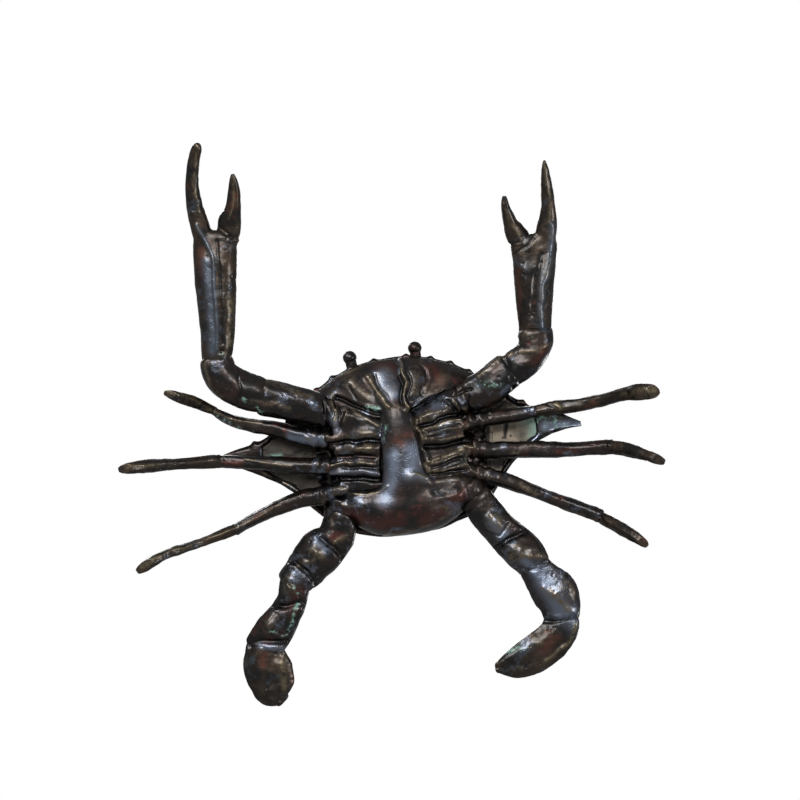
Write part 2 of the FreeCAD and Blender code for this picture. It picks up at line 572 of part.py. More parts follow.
def build():
    """All pieces of the crab by name."""
    cavity = make_cavity()
    shell = make_shell(cavity)
    belly = make_belly()
    tail = make_tail()
    pieces = {}
    bores = []
    roots = []
    for name, shares, heading, reach, rows in walking_legs:
        solids, bore, places, directions = make_limb(hip(shares), heading, reach, rows, walking_leg_thickness,
                                                     walking_leg_thickness, foot_height)
        belly = belly.fuse(make_boss(places[0], directions[0], leg_boss_diameter))
        bores.append(bore)
        roots.append(solids["thigh"])
        pieces[name + "_thigh"] = solids["thigh"]
        pieces[name + "_shin"] = file_foot(solids["shin"])
    for side, (shares, heading, reach, rows) in arms.items():
        root = hip(shares) - FreeCAD.Vector(0, arm_hip_gap, 0)
        solids, bore, places, directions = make_limb(root, heading, reach, rows, arm_thickness, arm_thickness)
        belly = belly.fuse(make_boss(places[0], directions[0], arm_boss_diameter))
        bores.append(bore)
        roots.append(solids["arm"])
        palm, finger, wrist_bore = make_claw(side, places[-1], directions[-1])
        pieces["claw_arm_" + SIDE_NAMES[side]] = solids["arm"]
        pieces["claw_wrist_" + SIDE_NAMES[side]] = solids["wrist"].cut(wrist_bore)
        pieces["claw_palm_" + SIDE_NAMES[side]] = palm
        pieces["claw_finger_" + SIDE_NAMES[side]] = finger
    for name, shares, heading, reach, rows in swim_legs:
        solids, bore, places, directions = make_limb(hip(shares), heading, reach, rows, swim_leg_thickness,
                                                     swim_leg_thickness)
        tail = tail.fuse(make_boss(places[0], directions[0], swim_boss_diameter))
        bores.append(bore)
        roots.append(solids["thigh"])
        for part_name, solid in solids.items():
            pieces[name + "_" + part_name] = solid
    for side in (LEFT, RIGHT):
        eye, eye_bore = make_eye(side)
        shell = shell.cut(eye_bore)
        pieces["eye_" + SIDE_NAMES[side]] = eye
        pieces["clay_core_" + SIDE_NAMES[side]] = make_clay(cavity, side)
    pieces["shell"] = shell
    pieces["belly_plate"] = cleared(belly, bores + roots)
    pieces["tail_flap"] = cleared(tail, bores + roots + [belly])
    pieces["mouth_fan"] = cleared(make_fan(), [belly, tail])
    return pieces


def main():
    """Move the crab over its footprint's middle and write every piece."""
    os.makedirs("parts", exist_ok=True)
    pieces = build()
    footprint = FreeCAD.BoundBox()
    for shape in pieces.values():
        footprint.add(shape.optimalBoundingBox(False, False))
    shift = FreeCAD.Vector(-footprint.Center.x, -footprint.Center.y, 0)
    for name, shape in pieces.items():
        shape.translate(shift)
        save(name, shape)
    print(len(pieces), "pieces,", [round(size, 1) for size in (footprint.XLength, footprint.YLength, footprint.ZMax)])


main()
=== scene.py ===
import bpy
import itertools
import numpy as np
from mathutils import Matrix


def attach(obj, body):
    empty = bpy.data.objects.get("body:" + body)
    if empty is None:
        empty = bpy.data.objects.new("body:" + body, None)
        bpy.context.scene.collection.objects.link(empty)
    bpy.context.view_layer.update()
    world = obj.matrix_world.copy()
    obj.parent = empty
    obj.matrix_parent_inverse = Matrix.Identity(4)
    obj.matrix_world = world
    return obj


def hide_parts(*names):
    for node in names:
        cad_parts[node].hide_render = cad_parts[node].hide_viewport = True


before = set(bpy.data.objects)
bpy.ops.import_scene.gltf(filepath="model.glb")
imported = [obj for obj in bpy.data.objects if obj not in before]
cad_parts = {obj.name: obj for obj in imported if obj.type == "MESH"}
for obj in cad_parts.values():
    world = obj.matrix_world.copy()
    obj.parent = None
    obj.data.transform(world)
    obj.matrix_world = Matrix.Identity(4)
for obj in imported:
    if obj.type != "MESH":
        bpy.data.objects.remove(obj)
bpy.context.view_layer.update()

# The view. The crab is looked at from below, as it lies turned over on a white table, and the
# view is turned a little about its line of sight. Millimetres, from the shell's middle.
shell_middle = np.array([3.705, 15.99, 0.0])
view_turn = np.radians(8.3)
view_place = np.array([2.815, -18.43, -635.0])
sensor_width = 36.0
view_lens = 70.2
picture_width = 800


def seen(places):
    """Where places show in the picture: the offset from the camera, turned with the view,
    over the distance along the line of sight, times the lens length in picture points."""
    offset = places - view_place
    scale = view_lens / sensor_width * picture_width / offset[:, 2]
    right = offset[:, 0] * np.cos(view_turn) + offset[:, 1] * np.sin(view_turn)
    down = offset[:, 1] * np.cos(view_turn) - offset[:, 0] * np.sin(view_turn)
    return picture_width / 2 + np.stack([right, down], 1) * scale[:, None]


camera = bpy.data.objects.new("camera", bpy.data.cameras.new("camera"))
camera.data.sensor_width = sensor_width
camera.data.lens = view_lens
camera.data.clip_start = 0.01
turn_cos, turn_sin = np.cos(view_turn), np.sin(view_turn)
camera_place = (view_place + shell_middle) / 1000
camera.matrix_world = Matrix([[turn_cos, turn_sin, 0, camera_place[0]], [turn_sin, -turn_cos, 0, camera_place[1]],
                              [0, 0, -1, camera_place[2]], [0, 0, 0, 1]])
bpy.context.scene.collection.objects.link(camera)
bpy.context.scene.camera = camera

# The shell. One thin bronze casting, open below, with a long spine at each side, short teeth along its front
# rim and a crumpled web of metal inside, between the hips and the clay. It was cast in a lost wax mould,
# darkened with acid and waxed.
half_span = 77.5
half_length = 37.0
shell_crown = 21.0
shell_wall = 2.4
rim_height = 27.0
cavity_share = 0.75
cavity_blend = 0.02
thin_rise = 4.0
tooth_reach = 1.1
tooth_half_width = 2.6
tooth_sharpness = 1.8
tooth_fade = 9.0
# Teeth: places in shares of the way round the front rim.
tooth_shares = [0.10, 0.15, 0.20, 0.25, 0.30, 0.35, 0.40, 0.46, 0.54, 0.60, 0.65, 0.70, 0.75, 0.80, 0.85, 0.90]
shell_stations = 300
outer_points = 130
inner_points = 90
# Rows: place across in shares of the half span, front and rear edge in shares of the half length, and the
# dome's rise in shares of the crown.
shell_rows = np.array([
    (-1.00, -0.15, -0.09, 0.04), (-0.90, -0.20, 0.00, 0.12), (-0.75, -0.27, 0.17, 0.25), (-0.60, -0.43, 0.40, 0.46),
    (-0.43, -0.72, 0.80, 0.76), (-0.22, -0.94, 1.00, 0.95), (0.00, -1.00, 1.04, 1.00), (0.22, -0.94, 1.00, 0.95),
    (0.43, -0.72, 0.80, 0.76), (0.60, -0.43, 0.40, 0.46), (0.75, -0.21, 0.20, 0.25), (0.90, -0.08, 0.11, 0.12),
    (1.00, 0.04, 0.10, 0.04)]) * (half_span, half_length, half_length, shell_crown)


def through(at, places, values):
    """Smooth curve through given places: between two of them a cubic that has the slopes
    found by central differences at both."""
    slopes = np.gradient(values, places)
    run = np.clip(np.searchsorted(places, at) - 1, 0, len(places) - 2)
    width = places[run + 1] - places[run]
    t = (at - places[run]) / width
    return ((2 * t ** 3 - 3 * t ** 2 + 1) * values[run] + (t ** 3 - 2 * t ** 2 + t) * width * slopes[run]
            + (3 * t ** 2 - 2 * t ** 3) * values[run + 1] + (t ** 3 - t ** 2) * width * slopes[run + 1])


def arch(start, end, rise, count):
    """Arc of a circle over a chord: the radius is (half chord squared + rise squared) over
    twice the rise, and the angle runs evenly between the chord's two ends."""
    half = (end - start) / 2
    rise = np.maximum(rise, 0.02)
    radius = (half ** 2 + rise ** 2) / (2 * rise)
    reach = np.arctan2(half, radius - rise)
    angle = reach[:, None] * np.linspace(-1, 1, count)
    along = (start + half)[:, None] + radius[:, None] * np.sin(angle)
    return along, radius[:, None] * np.cos(angle) - (radius - rise)[:, None]


def skin(rings):
    """Closed skin over rows of rings: quads between neighbouring rings, and a fan of
    triangles to the middle of each end ring. Faces are turned over if the volume is negative."""
    rows, around = rings.shape[:2]
    index = np.arange(rows * around).reshape(rows, around)
    beside = np.roll(index, -1, 1)
    quads = np.stack([index[:-1], beside[:-1], beside[1:], index[1:]], -1).reshape(-1, 4)
    poles = np.full((2, around), [[rows * around], [rows * around + 1]])
    fans = np.concatenate([np.stack([poles[0], beside[0], index[0]], 1),
                           np.stack([poles[1], index[-1], beside[-1]], 1)])
    places = np.concatenate([rings.reshape(-1, 3), [rings[0].mean(0), rings[-1].mean(0)]])
    first, second, third, fourth = np.moveaxis(places[quads], 1, 0)
    volume = np.einsum("ij,ij->", first, np.cross(second, third) + np.cross(third, fourth))
    if volume < 0:
        quads, fans = quads[:, ::-1], fans[:, ::-1]
    return places, quads, fans


def closed(face, level, step=5):
    """Rings from an open face: out along each of its rows, and back over every few of its
    points on a flat level."""
    back = face[:, ::-step].copy()
    back[..., 2] = level
    return np.concatenate([face, back], 1)


def mesh_of(name, shells):
    """Mesh of closed skins: their corners one after another, with each skin's faces moved on."""
    first = np.cumsum([0] + [len(shell[0]) for shell in shells])
    places = np.concatenate([shell[0] for shell in shells])
    faces = [shell[kind] + start for kind in (1, 2) for shell, start in zip(shells, first)]
    sizes = np.concatenate([np.full(len(face), face.shape[1]) for face in faces])
    corners = np.concatenate([face.ravel() for face in faces])
    mesh = bpy.data.meshes.new(name)
    mesh.vertices.add(len(places))
    mesh.vertices.foreach_set("co", ((places + shell_middle) / 1000).ravel())
    mesh.loops.add(len(corners))
    mesh.loops.foreach_set("vertex_index", corners.astype(np.int32))
    mesh.polygons.add(len(sizes))
    mesh.polygons.foreach_set("loop_start", (np.cumsum(sizes) - sizes).astype(np.int32))
    mesh.update(calc_edges=True)
    return mesh


noise_keys = [(12.9898, 78.233, 37.719), (12.9, 78.2, 37.7), (26.6, 11.1, 61.9), (45.3, 94.7, 8.1)]
noise_gain = 43758.5453


def lumpy(places, size, seed):
    """Value noise from -1 to 1: the corners of a grid have numbers from the fraction of a large
    sine, and the eight round a place are blended. A corner weighs three times the square of
    its nearness less twice the cube."""
    cell = places / size + seed * 17.31
    base = np.floor(cell)
    nearness = (cell - base) ** 2 * (3 - 2 * (cell - base))
    total = np.zeros(len(places))
    for corner in itertools.product((0, 1), repeat=3):
        number = np.sin((base + corner) @ noise_keys[0]) * noise_gain
        weight = np.prod(np.where(np.array(corner) == 1, nearness, 1 - nearness), axis=1)
        total += weight * (number - np.floor(number))
    return 2 * total - 1


def pitted(places, spacing, radius, seed):
    """Round pits: each cell of a grid holds one pit at a random place, and the depth at a place
    is 1 less the squared share of the radius to the nearest pit, and nought outside it."""
    cell = places / spacing + seed * 9.7
    base = np.floor(cell)
    nearest = np.full(len(places), 9.0)
    for corner in itertools.product((-1, 0, 1), repeat=3):
        lattice = base + corner
        jitter = np.stack([np.sin(lattice @ key) * noise_gain for key in noise_keys[1:]], 1)
        offset = lattice + (jitter - np.floor(jitter)) - cell
        nearest = np.minimum(nearest, np.einsum("ij,ij->i", offset, offset))
    return np.clip(1 - nearest * (spacing / radius) ** 2, 0, 1)


def away(spots, line):
    """Distance of spots from a line of straight runs: the least of the distances to its runs."""
    line = np.array(line, float)
    nearest = np.linalg.norm(spots - line[0], axis=1)
    for start, run in zip(line[:-1], np.diff(line, axis=0)):
        share = np.clip((spots - start) @ run / (run @ run), 0, 1)
        nearest = np.minimum(nearest, np.linalg.norm(spots - start - share[:, None] * run, axis=1))
    return nearest


# Lumps of the wax: height and size in millimetres.
wax_lumps = [(0.32, 8.0), (0.16, 3.2), (0.05, 1.3)]
pit_spacing = 3.4
pit_radius = 0.7
pit_patch = 9.0
wobble_size = 4.5
mark_wobble = 1.6
wear_height = 0.35
wear_and_highlight_share = 0.7
red_share = 0.65
# Painted shade: the dark coat grows with the depth of a place below the surface, past a start and up to a limit.
hollow_shade_gain = 1.8
hollow_shade_start = 0.2
hollow_shade_limit = 0.9
finishes = {}


def cast(name, node, mesh, slot, marks, lump_share, pit_depth, seed, raised=None):
    """Finish of a cast piece: its corners move along their normals by the lumps of the wax,
    the pits of the casting, the marks cut in it and the relief raised on its first corners.
    A mark is a bell curve of the distance from its line in the picture, on faces that look
    down. Worn metal mixed with painted highlights, verdigris, red, painted bluish-grey sheen, and dark, which paints
    shade in hollows and creases, are kept as attributes for the finish."""
    count = len(mesh.vertices)
    places = np.empty(count * 3, np.float32)
    normals = np.empty(count * 3, np.float32)
    mesh.vertices.foreach_get("co", places)
    mesh.vertex_normals.foreach_get("vector", normals)
    places = places.reshape(-1, 3) * 1000.0 - shell_middle
    normals = normals.reshape(-1, 3).astype(float)
    swell = sum(tall * lumpy(places, size, seed + at) for at, (tall, size) in enumerate(wax_lumps))
    pits = pitted(places, pit_spacing, pit_radius, seed) * (lumpy(places, pit_patch, seed + 3) > 0.1)
    height = lump_share * swell - pit_depth * pits
    coats = {kind: np.zeros(count) for kind in ("wear_and_highlight", "green", "red", "painted_sheen", "dark")}
    coats["dark"] += pits
    wobble = np.stack([lumpy(places, wobble_size, seed + 5), lumpy(places, wobble_size, seed + 6)], 1)
    spots = seen(places) + mark_wobble * wobble
    facing = np.clip(-2.5 * normals[:, 2] + 0.3, 0, 1)
    for kind, half_width, relief, line in marks:
        weight = facing * np.exp(-(away(spots, line) / half_width) ** 2)
        height += relief * weight
        if kind in coats:
            coats[kind] += weight
    if raised is not None:
        height[:len(raised)] += raised
    # The rubbed coat: the marks, which paint highlights as well as worn metal, at a share, and places raised above a
    # height rubbed lighter.
    coats["wear_and_highlight"] = wear_and_highlight_share * coats["wear_and_highlight"] + np.clip(height - wear_height, 0, wear_height)
    # Painted shade: places sunk below the surface are coloured darker the deeper they lie.
    coats["dark"] += np.clip(-height * hollow_shade_gain - hollow_shade_start, 0, hollow_shade_limit)
    coats["red"] *= red_share
    places += normals * height[:, None]
    places[:, 2] = np.maximum(places[:, 2], 0.0)
    mesh.vertices.foreach_set("co", ((places + shell_middle) / 1000).ravel().astype(np.float32))
    for kind, coat in coats.items():
        values = np.clip(coat, 0, 1).astype(np.float32)
        mesh.attributes.new(kind, "FLOAT", "POINT").data.foreach_set("value", values)
    mesh.polygons.foreach_set("use_smooth", np.ones(len(mesh.polygons), bool))
    mesh.materials.append(finishes[slot])
    mesh.update()
    piece = bpy.data.objects.new(name, mesh)
    bpy.context.scene.collection.objects.link(piece)
    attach(piece, "root")
    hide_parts(node)


def linear(colour):
    """Linear colour of an sRGB hex value: a channel over 12.92 where it is small, and else
    (channel + 0.055) over 1.055, to the power 2.4."""
    channel = np.array([int(colour[i:i + 2], 16) for i in (1, 3, 5)]) / 255
    return (*np.where(channel <= 0.04045, channel / 12.92, ((channel + 0.055) / 1.055) ** 2.4), 1.0)


def add(tree, kind, sockets=(), **settings):
    """Adds a node. Settings are its own properties or else its sockets' values, and sockets are
    pairs of a socket's number or name and what goes in: another node's output or a value."""
    node = tree.nodes.new(kind)
    for name, value in settings.items():
        if hasattr(node, name):
            setattr(node, name, value)
        else:
            node.inputs[name.replace("_", " ")].default_value = value
    for socket, source in sockets:
        if isinstance(source, bpy.types.NodeSocket):
            tree.links.new(source, node.inputs[socket])
        else:
            node.inputs[socket].default_value = source
    return node


# Sizes in metres: patches of 10 mm, drifts of 9 mm, specks of 2.2 mm and grit of 1.3 mm, which is coarser
# than the real grit so that it shows.
patch_size = 0.010
drift_size = 0.009
speckle_size = 0.0022
grit_size = 0.0013


def patina(name, colours, shine):
    """Bronze darkened with liver of sulphur and waxed. Patches a few millimetres wide run from near-black to red,
    with patches of painted bluish-grey sheen among them. Rubbed edges show the metal, mixed with painted highlights,
    the dark coat is painted shade in hollows and creases, and hollows hold verdigris."""
    material = bpy.data.materials.new(name)
    material.use_nodes = True
    tree = material.node_tree
    tree.nodes.clear()
    place = add(tree, "ShaderNodeTexCoord").outputs["Object"]
    cloud = add(tree, "ShaderNodeTexNoise", [("Vector", place)], Scale=1 / patch_size, Detail=5.0,
                Roughness=0.65).outputs["Fac"]
    speckle = add(tree, "ShaderNodeTexNoise", [("Vector", place)], Scale=1 / speckle_size, Detail=3.0,
                  Roughness=0.65).outputs["Fac"]
    drift = add(tree, "ShaderNodeTexNoise", [("Vector", place)], Scale=1 / drift_size, Detail=5.0,
                Roughness=0.7, noise_dimensions="4D", W=3.0).outputs["Fac"]
    grit = add(tree, "ShaderNodeTexVoronoi", [("Vector", place)], Scale=1 / grit_size).outputs["Distance"]

    # Ramps: the pattern, where the ramp starts and ends in it, and its top.
    # Among the ramps, the bluish-grey one lays patches of painted sheen at random, the rubbed one mixes worn metal with
    # painted highlights, and the dark one breaks up the painted shade.
    ramps = {}
    for kind, source, low, high, top in (
            ("warm", cloud, 0.40, 0.62, 1.0), ("red", drift, 0.56, 0.70, 0.8), ("painted_sheen", drift, 0.46, 0.34, 0.7),
            ("wear_and_highlight", speckle, 0.30, 0.60, 1.0), ("dark", speckle, 0.75, 0.35, 1.0), ("green", speckle, 0.48, 0.60, 0.8),
            ("specks", speckle, 0.64, 0.70, 0.8), ("patches", cloud, 0.58, 0.66, 0.7), ("grit", grit, 0.05, 0.40, 1.0)):
        ramps[kind] = add(tree, "ShaderNodeMapRange", [("Value", source)], interpolation_type="SMOOTHSTEP",
                          From_Min=low, From_Max=high, To_Max=top).outputs["Result"]
    masks = {}
    for kind, operation in (("red", "MAXIMUM"), ("painted_sheen", "MAXIMUM"), ("wear_and_highlight", "MULTIPLY"), ("dark", "MULTIPLY"),
                            ("green", "MULTIPLY")):
        coat = add(tree, "ShaderNodeAttribute", attribute_name=kind).outputs["Fac"]
        masks[kind] = add(tree, "ShaderNodeMath", [(0, coat), (1, ramps[kind])], operation=operation,
                          use_clamp=True).outputs[0]
    specks = add(tree, "ShaderNodeMath", [(0, ramps["specks"]), (1, ramps["patches"])], operation="MULTIPLY",
                 use_clamp=True).outputs[0]
    crust = add(tree, "ShaderNodeMath", [(0, masks["green"]), (1, specks)], operation="MAXIMUM",
                use_clamp=True).outputs[0]
    masks["green"] = crust

    # Sockets 6 and 7 of a Mix node are its two colours, and its output 2 is the mixed one.
    colour = add(tree, "ShaderNodeMix", [(0, ramps["warm"]), (6, linear(colours["brown"])),
                                         (7, linear(colours["warm"]))], data_type="RGBA").outputs[2]
    for kind, mask in masks.items():
        colour = add(tree, "ShaderNodeMix", [(0, mask), (6, colour), (7, linear(colours[kind]))],
                     data_type="RGBA").outputs[2]
    metal = add(tree, "ShaderNodeMapRange", [("Value", crust)], To_Min=0.85, To_Max=0.05).outputs["Result"]
    gloss = add(tree, "ShaderNodeMapRange", [("Value", drift)], From_Min=0.35, From_Max=0.65, To_Min=shine,
                To_Max=shine + 0.26).outputs["Result"]
    crusty = add(tree, "ShaderNodeMapRange", [("Value", crust)], interpolation_type="SMOOTHSTEP", From_Min=0.2,
                 From_Max=0.8, To_Max=0.75).outputs["Result"]
    matt = add(tree, "ShaderNodeMath", [(0, gloss), (1, crusty)], operation="MAXIMUM", use_clamp=True).outputs[0]
    relief = add(tree, "ShaderNodeMath", [(0, ramps["grit"]), (1, speckle)], operation="ADD").outputs[0]
    dents = add(tree, "ShaderNodeBump", [("Height", relief)], Strength=0.45, Distance=0.00012).outputs[0]
    surface = add(tree, "ShaderNodeBsdfPrincipled", [("Base Color", colour), ("Metallic", metal), ("Roughness", matt),
                                                     ("Normal", dents)], Coat_Weight=0.17, Coat_Roughness=0.25,
                  Specular_Tint=(0.30, 0.29, 0.28, 1.0))
    add(tree, "ShaderNodeOutputMaterial", [("Surface", surface.outputs[0])])
    return material


# Dark patina under wax: near-black and glossy, with red where the coat is thin, painted bluish-grey sheen and
# painted highlights on rubbed edges.
finishes["dark_bronze"] = patina("waxed bronze, dark patina", {
    "brown": "#0b0a0a", "warm": "#1c1512", "red": "#341914", "painted_sheen": "#434954", "wear_and_highlight": "#453d31",
    "dark": "#060505", "green": "#4f6a60"}, 0.24)

# Shell: at each place across, an arc from front to rear outside, and one a wall's thickness in from it, which
# is flat past the end of the cavity, where the spines are solid. Teeth are bell curves of the way round the
# front rim, which push the rim straight out and fade up the dome.
shell_x = np.linspace(-half_span, half_span, shell_stations)
front, rear, rise = [through(shell_x, shell_rows[:, 0], shell_rows[:, column]) for column in (1, 2, 3)]
outer_y, outer_z = arch(front, rear, rise, outer_points)
open_share = np.clip((cavity_share + cavity_blend / 2 - np.abs(shell_x) / half_span) / cavity_blend, 0, 1)
wall = shell_wall * np.minimum(1, rise / thin_rise)
inner_y, inner_z = arch(front + wall, rear - wall, np.maximum(rise - shell_wall, 0) * open_share, inner_points)
shell_y = np.concatenate([outer_y, inner_y[:, ::-1]], 1)
shell_z = np.concatenate([outer_z, inner_z[:, ::-1]], 1)
margin = np.cumsum(np.hypot(np.gradient(shell_x), np.gradient(front)))
tooth = sum(np.exp(-((margin - share * margin[-1]) / tooth_half_width * tooth_sharpness) ** 2)
            for share in tooth_shares)
edge_share = np.exp(-(np.concatenate([np.arange(outer_points), np.arange(inner_points)[::-1]]) / tooth_fade) ** 2)
slope = np.gradient(front, shell_x)
push = tooth_reach * tooth[:, None] * edge_share
shell_rings = np.stack([shell_x[:, None] + push * (slope / np.hypot(1, slope))[:, None],
                        shell_y - push * (1 / np.hypot(1, slope))[:, None], rim_height + shell_z], -1)
# Marks: what each one puts there, half width in picture points, relief in millimetres, and a line in the picture.
# Worn metal mixed with painted highlights, dark with painted shade, green, red and painted bluish-grey sheen colour
# the finish, and a plain mark is relief alone.
# Shell marks: bluish-grey marks are painted sheen and the rubbed marks worn edges with painted highlights; green and
# red marks are verdigris and patina.
shell_marks = [
    ("green", 5.0, 0.10, [(536, 420), (552, 417), (560, 424)]),
    ("painted_sheen", 5.0, 0.0, [(546, 426), (580, 424)]),
    ("wear_and_highlight", 1.6, 0.15, [(543, 438), (564, 429), (586, 425)]),
    ("red", 4.0, 0.0, [(286, 448), (300, 450)]),
    ("green", 3.0, 0.10, [(268, 454), (278, 454)]),
    ("wear_and_highlight", 1.5, 0.15, [(262, 471), (276, 479), (295, 487)]),
]
groove_depth = 0.8
groove_half_width = 1.3
grain_height = 0.45
grain_size = 1.7
grain_patch = 8.0
dome_drop = 0.55
# Grooves and lobes of the back in millimetres: lines in plan, and middle, size and height.
carapace_grooves = [
    [(7, -14), (12, -4), (22, 3), (36, -6), (44, -17)],
    [(9, 4), (11, 14), (9, 26)],
    [(0, -30), (0, -20)],
]
carapace_lobes = [((0, -12), (13, 8), 0.9), ((0, 8), (8, 7), 0.8), ((0, 24), (12, 5), 0.6), ((24, -14), (9, 7), 0.8),
                  ((34, 4), (13, 10), 0.8), ((12, -26), (5, 4), 0.6), ((56, -4), (14, 4), 0.4), ((18, 18), (6, 6), 0.5)]


def carapace(places):
    """Height of the modelled back over the plain dome: bell curves for the lobes less bell
    curves for the grooves, the same on both sides, and small grains all over."""
    plan = np.abs(places[:, :2] * (1, 0)) + places[:, :2] * (0, 1)
    height = sum(tall * np.exp(-(((plan - middle) / size) ** 2).sum(1)) for middle, size, tall in carapace_lobes)
    height -= sum(groove_depth * np.exp(-(away(plan, line) / groove_half_width) ** 2) for line in carapace_grooves)
    grains = np.clip(lumpy(places, grain_size, 31), 0, 1)
    return height + grain_height * grains * (0.4 + 0.6 * (lumpy(places, grain_patch, 32) > -0.2))


shell_skin = skin(shell_rings)
above = np.clip((shell_skin[0][:, 2] - rim_height) / 3, 0, 1)
above[np.arange(len(above)) % (outer_points + inner_points) >= outer_points] = 0

web_inner = 26.0
web_outer = 36.5
web_half_length = 23.0
web_lift = 1.6
web_height = 5.0
web_lumps = 1.2
web_ragged_start = 31.0
web_ragged_run = 5.0
# Webs: flat sheets beside the clay, crumpled by value noise in height and along their ragged outer edge.
web_x = np.linspace(web_inner, web_outer, 44)
web_y = np.linspace(-web_half_length, web_half_length, 150)
webs = []
for side in (1, -1):
    web = np.stack(np.broadcast_arrays(side * web_x[:, None], web_y[None], 0.0), -1)
    ragged = side * np.clip((web_x - web_ragged_start) / web_ragged_run, 0, 1)[:, None] * web_lumps
    web[..., 0] += ragged * lumpy(web.reshape(-1, 3), 5.0, 91).reshape(web.shape[:2])
    web[..., 2] = rim_height + web_lift - web_lumps * lumpy(web.reshape(-1, 3), 2.6, 92).reshape(web.shape[:2])
    webs.append(skin(closed(web, rim_height + web_height)))
cast("shell_cast", "shell", mesh_of("shell_cast", [shell_skin] + webs), "dark_bronze", shell_marks,
     lump_share=1.0, pit_depth=0.22, raised=above * (carapace(shell_skin[0]) - dome_drop), seed=2)

# Clay in the wings. Clay and sand of the mould's core, left in the hollow of both wings, a little inside the
# rim. It is dry, matt and cracked, tan in one wing and dark in the other, and green beside the bronze.
clay_start = 0.46 * half_span
clay_recess = 1.4
clay_gap = 0.2
clay_least = 0.3
crack_share = 0.14
# Sizes in metres: stains of 6 mm, sand of 0.9 mm, which is coarser than the real sand so that it shows, and
# cracks about 12 mm apart.
stain_size = 0.006
sand_size = 0.0009
crack_spacing = 0.012
# Dry clay: matt and sandy, cracked into scales, with painted shade in its hollows, pits and cracks, and verdigris
# washed off the bronze.
clay = bpy.data.materials.new("dry casting clay")
clay.use_nodes = True
tree = clay.node_tree
tree.nodes.clear()
place = add(tree, "ShaderNodeTexCoord").outputs["Object"]
stain = add(tree, "ShaderNodeTexNoise", [("Vector", place)], Scale=1 / stain_size, Detail=6.0,
            Roughness=0.7).outputs["Fac"]
sand = add(tree, "ShaderNodeTexNoise", [("Vector", place)], Scale=1 / sand_size, Detail=2.0).outputs["Fac"]
cracks = add(tree, "ShaderNodeTexNoise", [("Vector", place)], Scale=1 / crack_spacing, Detail=3.0, Distortion=0.6)
seam = add(tree, "ShaderNodeMath", [(0, cracks.outputs["Fac"]), (1, crack_share)], operation="PINGPONG")
split = add(tree, "ShaderNodeMapRange", [("Value", seam.outputs[0])], From_Min=0.0, From_Max=0.02).outputs[0]
leftward = add(tree, "ShaderNodeSeparateXYZ", [("Vector", place)]).outputs["X"]
# The clay is tan but for the outer end of the left wing, and dark in the right wing.
tan_clay = add(tree, "ShaderNodeMapRange", [("Value", leftward)], From_Min=0.062, From_Max=0.053,
               To_Max=0.75).outputs[0]
dark_clay = add(tree, "ShaderNodeMapRange", [("Value", leftward)], From_Min=0.01, From_Max=-0.01,
                To_Max=0.85).outputs[0]
# Painted shade: the cast's dark coat darkens the clay's hollows, pits and cracks.
painted_shade = add(tree, "ShaderNodeAttribute", attribute_name="dark").outputs["Fac"]
verdigris = add(tree, "ShaderNodeAttribute", attribute_name="green").outputs["Fac"]
verdigris = add(tree, "ShaderNodeMath", [(0, verdigris), (1, stain)], operation="MULTIPLY", use_clamp=True).outputs[0]
tone = add(tree, "ShaderNodeMix", [(0, stain), (6, linear("#2a2f2a")), (7, linear("#55534a"))],
           data_type="RGBA").outputs[2]
for share, tint in ((tan_clay, "#685d50"), (dark_clay, "#17130f"), (painted_shade, "#15120f"), (verdigris, "#66837b")):
    tone = add(tree, "ShaderNodeMix", [(0, share), (6, tone), (7, linear(tint))], data_type="RGBA").outputs[2]
dusty = add(tree, "ShaderNodeMix", [(0, split), (6, linear("#1b1713")), (7, tone)], data_type="RGBA").outputs[2]
relief = add(tree, "ShaderNodeMath", [(0, sand), (1, split)], operation="ADD").outputs[0]
dents = add(tree, "ShaderNodeBump", [("Height", relief)], Strength=0.9, Distance=0.0004).outputs[0]
surface = add(tree, "ShaderNodeBsdfPrincipled", [("Base Color", dusty), ("Normal", dents)], Roughness=0.95)
add(tree, "ShaderNodeOutputMaterial", [("Surface", surface.outputs[0])])
finishes["casting_clay"] = clay
# Dark clay marks paint shade in the crack and along the edges of the hollow; green marks are verdigris.
clay_marks = [
    ("dark", 1.6, -0.8, [(506, 422), (505, 438)]),
    ("dark", 6.0, -0.3, [(480, 402), (505, 401), (532, 405)]),
    ("dark", 6.0, -0.3, [(478, 463), (498, 464), (524, 460)]),
    ("dark", 2.2, -0.4, [(488, 414), (487, 442)]),
    ("dark", 2.0, -0.5, [(300, 450), (288, 458), (292, 470)]),
    ("green", 6.0, 0.2, [(524, 418), (536, 424), (533, 436)]),
    ("green", 3.0, 0.2, [(497, 418), (514, 416)]),
    ("green", 2.4, 0.2, [(270, 457), (279, 455)]),
]
# Clay: arcs that follow the shell's roof a small gap below it, closed by a flat underside.
for side_name, side in (("left", 1), ("right", -1)):
    clay_x = side * np.linspace(clay_start, cavity_share * half_span, 90)
    front, rear, rise = [through(clay_x, shell_rows[:, 0], shell_rows[:, column]) for column in (1, 2, 3)]
    roof_y, roof_z = arch(front + shell_wall, rear - shell_wall,
                          np.maximum(rise - shell_wall - clay_gap, clay_recess + clay_least), 80)
    roof = np.stack(np.broadcast_arrays(clay_x[:, None], roof_y, rim_height + np.maximum(roof_z, clay_recess)), -1)
    name = "clay_" + side_name
    cast(name, "clay_core_" + side_name, mesh_of(name, [skin(closed(roof, rim_height + clay_recess, 1))]),
         "casting_clay", clay_marks, lump_share=1.6, pit_depth=0.3, seed=5)

# The eyes. Two round balls on short stalks that stand out over the front rim, cast on and smoothed. They are
# dark, and handling has polished them a little.
eye_diameter = 5.9
stalk_diameter = 3.8
stalk_flare = 0.5
stalk_fade = 1.2
eye_reach = 2.4
eye_lift = 3.4
# Eyes: root across and along in shares of the shell's half span and half length, and heading in degrees.
eyes = {"left": (0.155, -0.90, -88), "right": (-0.195, -0.90, -96)}
eye_marks = [("dark", 9.0, 0.0, [(352, 361), (355, 368)]), ("dark", 9.0, 0.0, [(415, 350), (414, 360)])]
